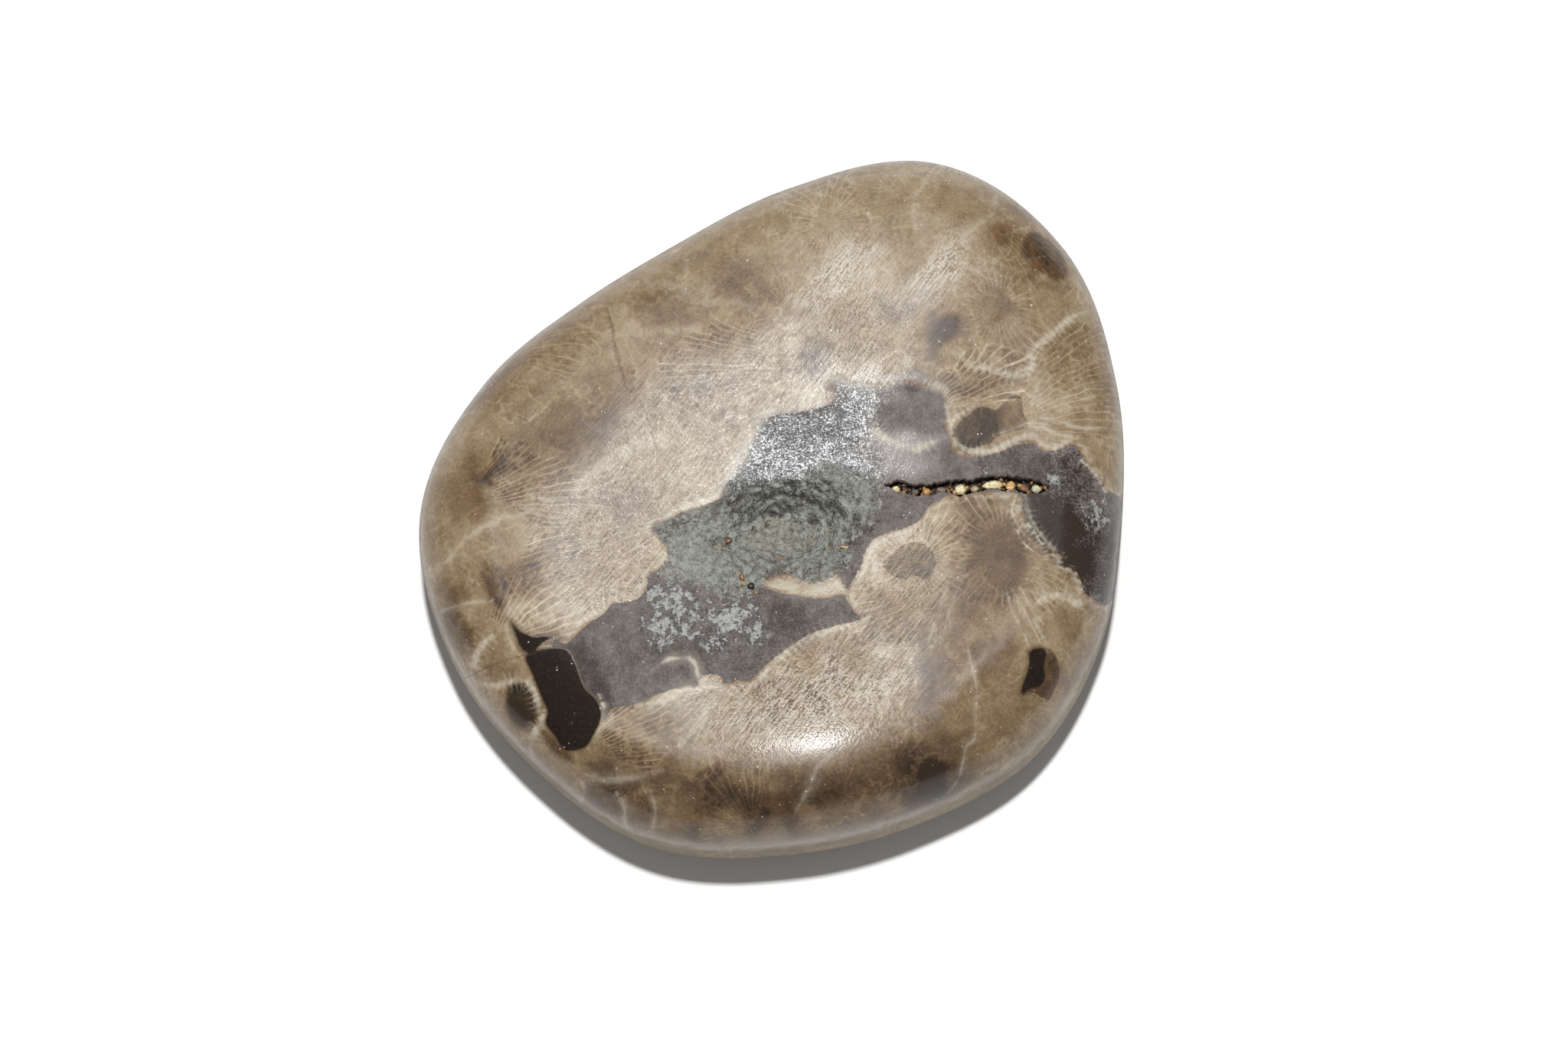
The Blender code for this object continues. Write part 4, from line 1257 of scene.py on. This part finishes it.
def band_layer(f, colour):
    """The band of mudstone through the coral, with a pale halo, a rusty rim and painted glints where it
    shines.
    """
    band_at = frayed(f, f.band, 0.5, 0.35)
    halo = f.rise(band_at, -1.1, -0.15) * f.rise(f.ragged + 0.06 * f.wave, -0.12, 0.12)
    colour = f.mix(0.55 * halo, colour, CREAM)
    mud_tone = frayed(f, f.shade + 0.37, 0.7, 0.9) + 1.3 * f.grit
    mud = f.ramp(mud_tone, (0.0, DARK_MUD), (0.42, GREY_MUD), (0.9, PALE_MUD))
    blurred = f.calc("MAXIMUM", f.shine, f.violet)
    f.in_band = f.rise(band_at, -0.9 * blurred - 0.04, 1.2 * blurred + 0.07)
    # Painted glints: white sparkle in the mud, strongest where it shines
    glints = f.rise(f.sparkle, 0.02, 0.20) * (0.55 * f.shine + 0.02)
    colour = f.mix(f.in_band, colour, f.mix(glints, mud, GLINT_WHITE))
    rim = f.rise(abs(band_at + 0.10), 0.24, 0.06) * f.rise(f.grain(2.8, 1.0, 43.0), -0.10, 0.08)
    return f.mix(0.55 * rim, colour, RUST)


def seam_layer(f, colour):
    """The pale seams: a broken ridge, with teeth on either side where it is a comb."""
    aside = frayed(f, abs(f.seam), 2.2, 1.3)
    tooth = (math.tau / TOOTH_SPACING) * f.onward + 12.0 * f.grain(1.7)
    toothed = f.rise(abs(f.onward), 0.0, 0.001)
    teeth = f.blend(toothed, 0.9, f.rise(f.calc("COSINE", tooth), -0.1, 0.9))
    broken = f.rise(f.grain(1.7, 2.0, 73.0), -0.20, 0.06)
    comb = teeth * f.rise(aside, 3.6, 0.5) * f.blend(broken, 0.4, 1.0)
    ridge = f.rise(aside, 1.2, 0.1) * f.blend(broken, 0.3, 1.0)
    return f.mix((0.55 * ridge + 0.24 * comb) * f.seam_power, colour, CREAM)


def residue_layer(f, colour):
    """The thin grey film that clings to the band in scraps."""
    at = 0.035 * f.residue + f.scraps + 0.40 * f.grain(2.2, 1.0, 89.0)
    f.in_residue = f.rise(at, 0.05, 0.10) * f.rise(f.residue + f.ragged, -0.6, 0.3)
    film = f.mix(f.rise(f.jagged + f.grit, -0.22, 0.18), RESIDUE_DARK, RESIDUE_GREY)
    return f.mix(0.9 * f.in_residue, colour, film)


def crystal_layer(f, colour):
    """The silvery crystals above the pit: grey, with their sparkle painted in as white glints."""
    # Painted glints: the sparkle noise lifts the crystals' tone to near-white in specks
    tone = frayed(f, f.shade + 0.49, 1.0, 1.2) + 3.4 * f.sparkle
    crystals = f.ramp(tone, (0.06, SILVER_DARK), (0.51, SILVER_GREY), (1.0, SILVER_GLINT_WHITE))
    f.in_silver = f.rise(frayed(f, f.silver, 3.5, 2.2) + 3.0 * f.sparkle, -1.3, 0.9)
    return f.mix(f.in_silver, colour, crystals)


def crust_layer(f, colour):
    """The grey-green crust in and round the pit, worn through in holes near its edge, and darker as
    painted shade between its lumps and on the pit's far wall.
    """
    # Painted shade between the lumps
    tone = frayed(f, 0.6 * f.shade + 0.77, 0.6, 1.3) + 1.3 * f.grit - 0.55 * f.trough
    crust = f.ramp(tone, (0.0, CRUST_DARK), (0.5, CRUST_GREEN), (1.0, CRUST_LIGHT))
    holes = f.rise(f.scraps, 0.0, -0.07) * f.rise(f.crust + f.shade, 2.2, 0.3)
    f.in_crust = f.rise(frayed(f, f.crust, 1.6, 1.1), -0.06, 0.12) * (1.0 - holes)
    return f.mix(f.in_crust, colour, f.mix(0.5 * f.rust, crust, CRUST_STAIN))


def ink_layer(f, colour):
    """The near-black spots, each with a brown edge."""
    ink_at = frayed(f, f.ink, 1.6, 0.8)
    colour = f.mix(0.65 * f.rise(ink_at, -3.0, -0.2), colour, INK_EDGE)
    f.in_ink = f.rise(ink_at, -0.8, 0.9)
    return f.mix(f.in_ink, colour, f.mix(f.rise(f.jagged, 0.0, 0.25), INK, INK_BROWN))


def flaw_layer(f, colour):
    """Hairline cracks, white chips, and the inside of the open crack: brown mud, near-black with painted
    shade.
    """
    on_hair = f.rise(abs(f.hair + 4.0 * f.jagged) + 2.5 * f.ragged, 1.1, 0.2)
    colour = f.mix(0.50 * on_hair, colour, HAIRLINE_BROWN)
    picked = f.rise(f.grain(1.6, 2.0, 59.0), 0.02, 0.10)
    specks = f.rise(f.chips(0.75) + 0.3 * f.jagged + 0.2 * f.grit, 0.11, 0.06) * picked
    colour = f.mix(0.65 * specks, colour, SPECK_WHITE)
    f.in_crack = f.rise(f.sunk, 0.20, 0.55)
    # Painted shade: the crack's inside darkened to near-black, over brown mud
    inside = f.mix(f.rise(f.jagged + f.grit, -0.12, 0.22), CRACK_SHADOW_DARK, CRACK_BROWN)
    return f.mix(f.in_crack, colour, inside)


def skin_roughness(f):
    """Glossy round the edge, satin in the dish, dull between them and on mud and crust."""
    height = f.parts("XYZ", f.place)[2]
    on_side = f.rise(height + 3.0 * f.ragged, 15.0, 11.0)
    polished = f.blend(on_side, 0.17 + 0.12 * f.ragged, SIDE_ROUGHNESS)
    rough = f.blend(f.in_worn, polished, 0.72 + 0.2 * f.ragged)
    satin = frayed(f, 0.41 + 0.06 * f.dull, 0.2, 0.3) + 0.4 * f.grit
    mud = 0.74 - 0.29 * f.shine + 0.5 * f.jagged + f.grit
    layers = (
        (f.in_satin, satin), (f.in_band * f.in_worn, mud), (0.95 * f.polish, 0.215 + 0.2 * f.grit),
        (f.in_ink, f.blend(on_side, 0.12, 0.26)), (f.in_crust, CRUST_ROUGHNESS),
        (f.in_residue, RESIDUE_ROUGHNESS), (f.in_silver * (1.0 - f.in_crust), CRYSTAL_ROUGHNESS),
        (f.in_crack, CRUST_ROUGHNESS),
    )
    for share, roughness in layers:
        rough = f.blend(share, rough, roughness)
    return rough


def skin_relief(f):
    """The finest relief: scratches in the satin, clots on the crust, facets on the crystals."""
    frosted = f.blend(f.in_satin, 0.3 * f.in_worn, 1.0)
    height = frosted * (0.014 * f.grain(0.30, 2.0, 61.0) + 0.030 * f.grit + 0.022 * f.brushed)
    clots = f.rise(f.chips(0.42), 0.55, 0.10)
    height = height + f.in_crust * (0.13 * clots + 0.32 * f.jagged) + 0.08 * f.in_residue
    return height + 0.12 * f.in_silver * f.sparkle + 0.012 * f.grain(0.9, 2.0, 67.0)


def coral_finish(fields):
    f = Finish("coral_stone")
    for name in fields:
        setattr(f, name, f.mark(name))
    f.ragged = f.grain(1.1, 3.0, 31.0)
    f.jagged = f.grain(0.35, 3.0, 37.0, 0.6)
    f.grit = f.grain(0.20, 2.0, 41.0)
    f.sparkle = f.grain(0.17, 2.0, 53.0, 0.6)
    f.scraps = f.grain(0.75, 5.0, 47.0, 0.70)
    f.brushed = f.streaks(0.20, 1.8, 52.0, 7.0)
    f.shine = f.calc("MAXIMUM", -1.0 * f.dull, 0.0)
    colour = coral_layer(f)
    layers = (band_layer, seam_layer, residue_layer, crystal_layer, crust_layer, ink_layer, flaw_layer)
    for layer in layers:
        colour = layer(f, colour)
    f.bump(skin_relief(f))
    f.shader.inputs["IOR"].default_value = STONE_IOR
    return f.wear(colour, skin_roughness(f))


def grit_finish(look):
    dark, light = GRIT_COLOURS[look]
    f = Finish("grit_" + look)
    blotches = f.grain(0.42, 3.0, 3.0)
    pits = f.grain(0.11, 2.0, 9.0)
    colour = f.ramp(1.6 * blotches + 0.9 * pits + 0.66, (0.05, dark), (0.85, light))
    f.bump(0.10 * blotches + 0.05 * pits, 0.8)
    return f.wear(colour, 0.30 + 0.25 * pits)


def make_grain(name, x, y, half_size, turn, slot_name, look):
    """A worn grain of grit, sunk a little below the lips of the crack."""
    bm = bmesh.new()
    bmesh.ops.create_icosphere(bm, subdivisions=GRAIN_SUBDIVISIONS, radius=1.0)
    shift = Vector((x, y, 0.0))
    for vert in bm.verts:
        swell = 0.16 * noise.noise(GRAIN_LUMPS * vert.co + shift)
        dents = 0.09 * noise.noise(3.0 * GRAIN_LUMPS * vert.co + shift)
        vert.co *= 1.0 + swell + dents
        vert.co = Vector(a * b for a, b in zip(vert.co, half_size))
    place = Matrix.Translation((x, y, height_at(x, y) - GRAIN_SINK))
    turned = Matrix.Rotation(math.radians(turn), 4, "Z")
    bmesh.ops.transform(bm, matrix=place @ turned, verts=bm.verts)
    mesh = finished_mesh(name + "_fine", bm)
    mesh.materials.append(grit_finish(look))
    add_piece(mesh, (name,))


def bit_finish():
    f = Finish("grit_bits")
    shade = f.mark("shade") + 0.3 * f.grain(0.15, 1.0, 4.0)
    return f.wear(f.ramp(shade, *BIT_COLOURS), 0.45)


def make_bits(name, bits):
    """Small worn bits as one piece; each is its place, its half sizes, its turn and its shade."""
    bm = bmesh.new()
    shades = []
    for place, half_size, turn, shade in bits:
        made = bmesh.ops.create_icosphere(bm, subdivisions=2, radius=1.0)["verts"]
        shades += [shade] * len(made)
        for vert in made:
            swell = 1.0 + 0.22 * noise.noise(1.3 * vert.co + Vector(place))
            vert.co = swell * Vector(a * b for a, b in zip(vert.co, half_size))
        turned = Matrix.Translation(place) @ Matrix.Rotation(math.radians(turn), 4, "Z")
        bmesh.ops.transform(bm, matrix=turned, verts=made)
    mesh = finished_mesh(name, bm)
    put_field(mesh, "shade", shades)
    mesh.materials.append(bit_finish())
    add_piece(mesh)


def make_crumbs():
    """Sand wedged between the grains in the crack."""
    draw = random.Random(SEED + 1)
    crumbs = []
    for _ in range(CRUMB_COUNT):
        x = draw.uniform(CRACK_STATIONS[1][0] - 0.4, CRACK_STATIONS[-2][0] + 0.6)
        middle, half_width = crack_course(x)
        y = middle + half_width * draw.uniform(-0.70, 0.55)
        level = height_at(x, y) - draw.uniform(0.45, 1.0)
        size = draw.uniform(0.10, 0.24)
        half_size = (size * draw.uniform(0.9, 1.5), size, size * draw.uniform(0.7, 1.0))
        crumbs.append(((x, y, level), half_size, draw.uniform(0.0, 180.0), draw.uniform(0.0, 0.75)))
    make_bits("crack_sand", crumbs)


def make_pit_specks(photo, places):
    specks = []
    for *pixel, half_x, half_y, half_z, turn, shade in PIT_SPECKS:
        x, y, _ = photo.place(pixel)
        gaps = np.hypot(places[:, 0] - x, places[:, 1] - y)
        nearest = np.argmin(np.where(places[:, 2] > TOP_ABOVE, gaps, FAR))
        level = places[nearest, 2] + 0.7 * half_z + SPECK_LIFT
        specks.append(((x, y, float(level)), (half_x, half_y, half_z), turn, shade))
    make_bits("pit_specks", specks)


def make_floor():
    bpy.ops.mesh.primitive_plane_add(size=FLOOR_SIZE)
    floor = bpy.context.object
    floor.name = "floor"
    f = Finish("pale_paper")
    cloudy = f.rise(f.grain(60.0, 2.0, 1.0), -0.3, 0.3)
    floor.data.materials.append(f.wear(f.mix(cloudy, *PAPER_WHITES), 0.9))


def make_room():
    """A room whose light grows from the horizon to overhead."""
    world = bpy.data.worlds.new("soft_room")
    world.use_nodes = True
    room = Nodes(world.node_tree)
    up = room.parts("XYZ", room.read("Generated", "TexCoord"))[2]
    background = room.tree.nodes["Background"]
    background.inputs["Color"].default_value = (1.0, 1.0, 1.0, 1.0)
    room.plug(background.inputs["Strength"], room.blend(up * up, ROOM_AT_HORIZON, ROOM_OVERHEAD))
    bpy.context.scene.world = world


def aim_down(holder, away):
    """Points a lamp or a camera back along the way it stands off, and puts it in the scene."""
    holder.rotation_euler = away.to_track_quat("Z", "Y").to_euler()
    bpy.context.scene.collection.objects.link(holder)


def make_lamp():
    lamp = bpy.data.lights.new("lamp", "AREA")
    lamp.size = LAMP_SIZE
    lamp.energy = LAMP_POWER
    holder = bpy.data.objects.new("lamp", lamp)
    away = Vector((0.0, math.cos(LAMP_ELEVATION), math.sin(LAMP_ELEVATION)))
    holder.location = LAMP_DISTANCE * away
    aim_down(holder, away)


def make_camera():
    camera = bpy.data.cameras.new("camera")
    camera.sensor_width = SENSOR_WIDTH
    camera.lens = SENSOR_WIDTH * CAMERA_DISTANCE / (PHOTO_SIZE[0] * MM_PER_PIXEL)
    holder = bpy.data.objects.new("camera", camera)
    holder.location = MM * (CAMERA_TARGET + CAMERA_DISTANCE * CAMERA_BACK)
    aim_down(holder, CAMERA_BACK)
    bpy.context.scene.camera = holder


bpy.context.scene.view_settings.view_transform = "Standard"
make_camera()
make_room()
make_lamp()
make_floor()
make_pit_specks(*make_skin())
for grain in GRAINS:
    make_grain(*grain)
make_crumbs()
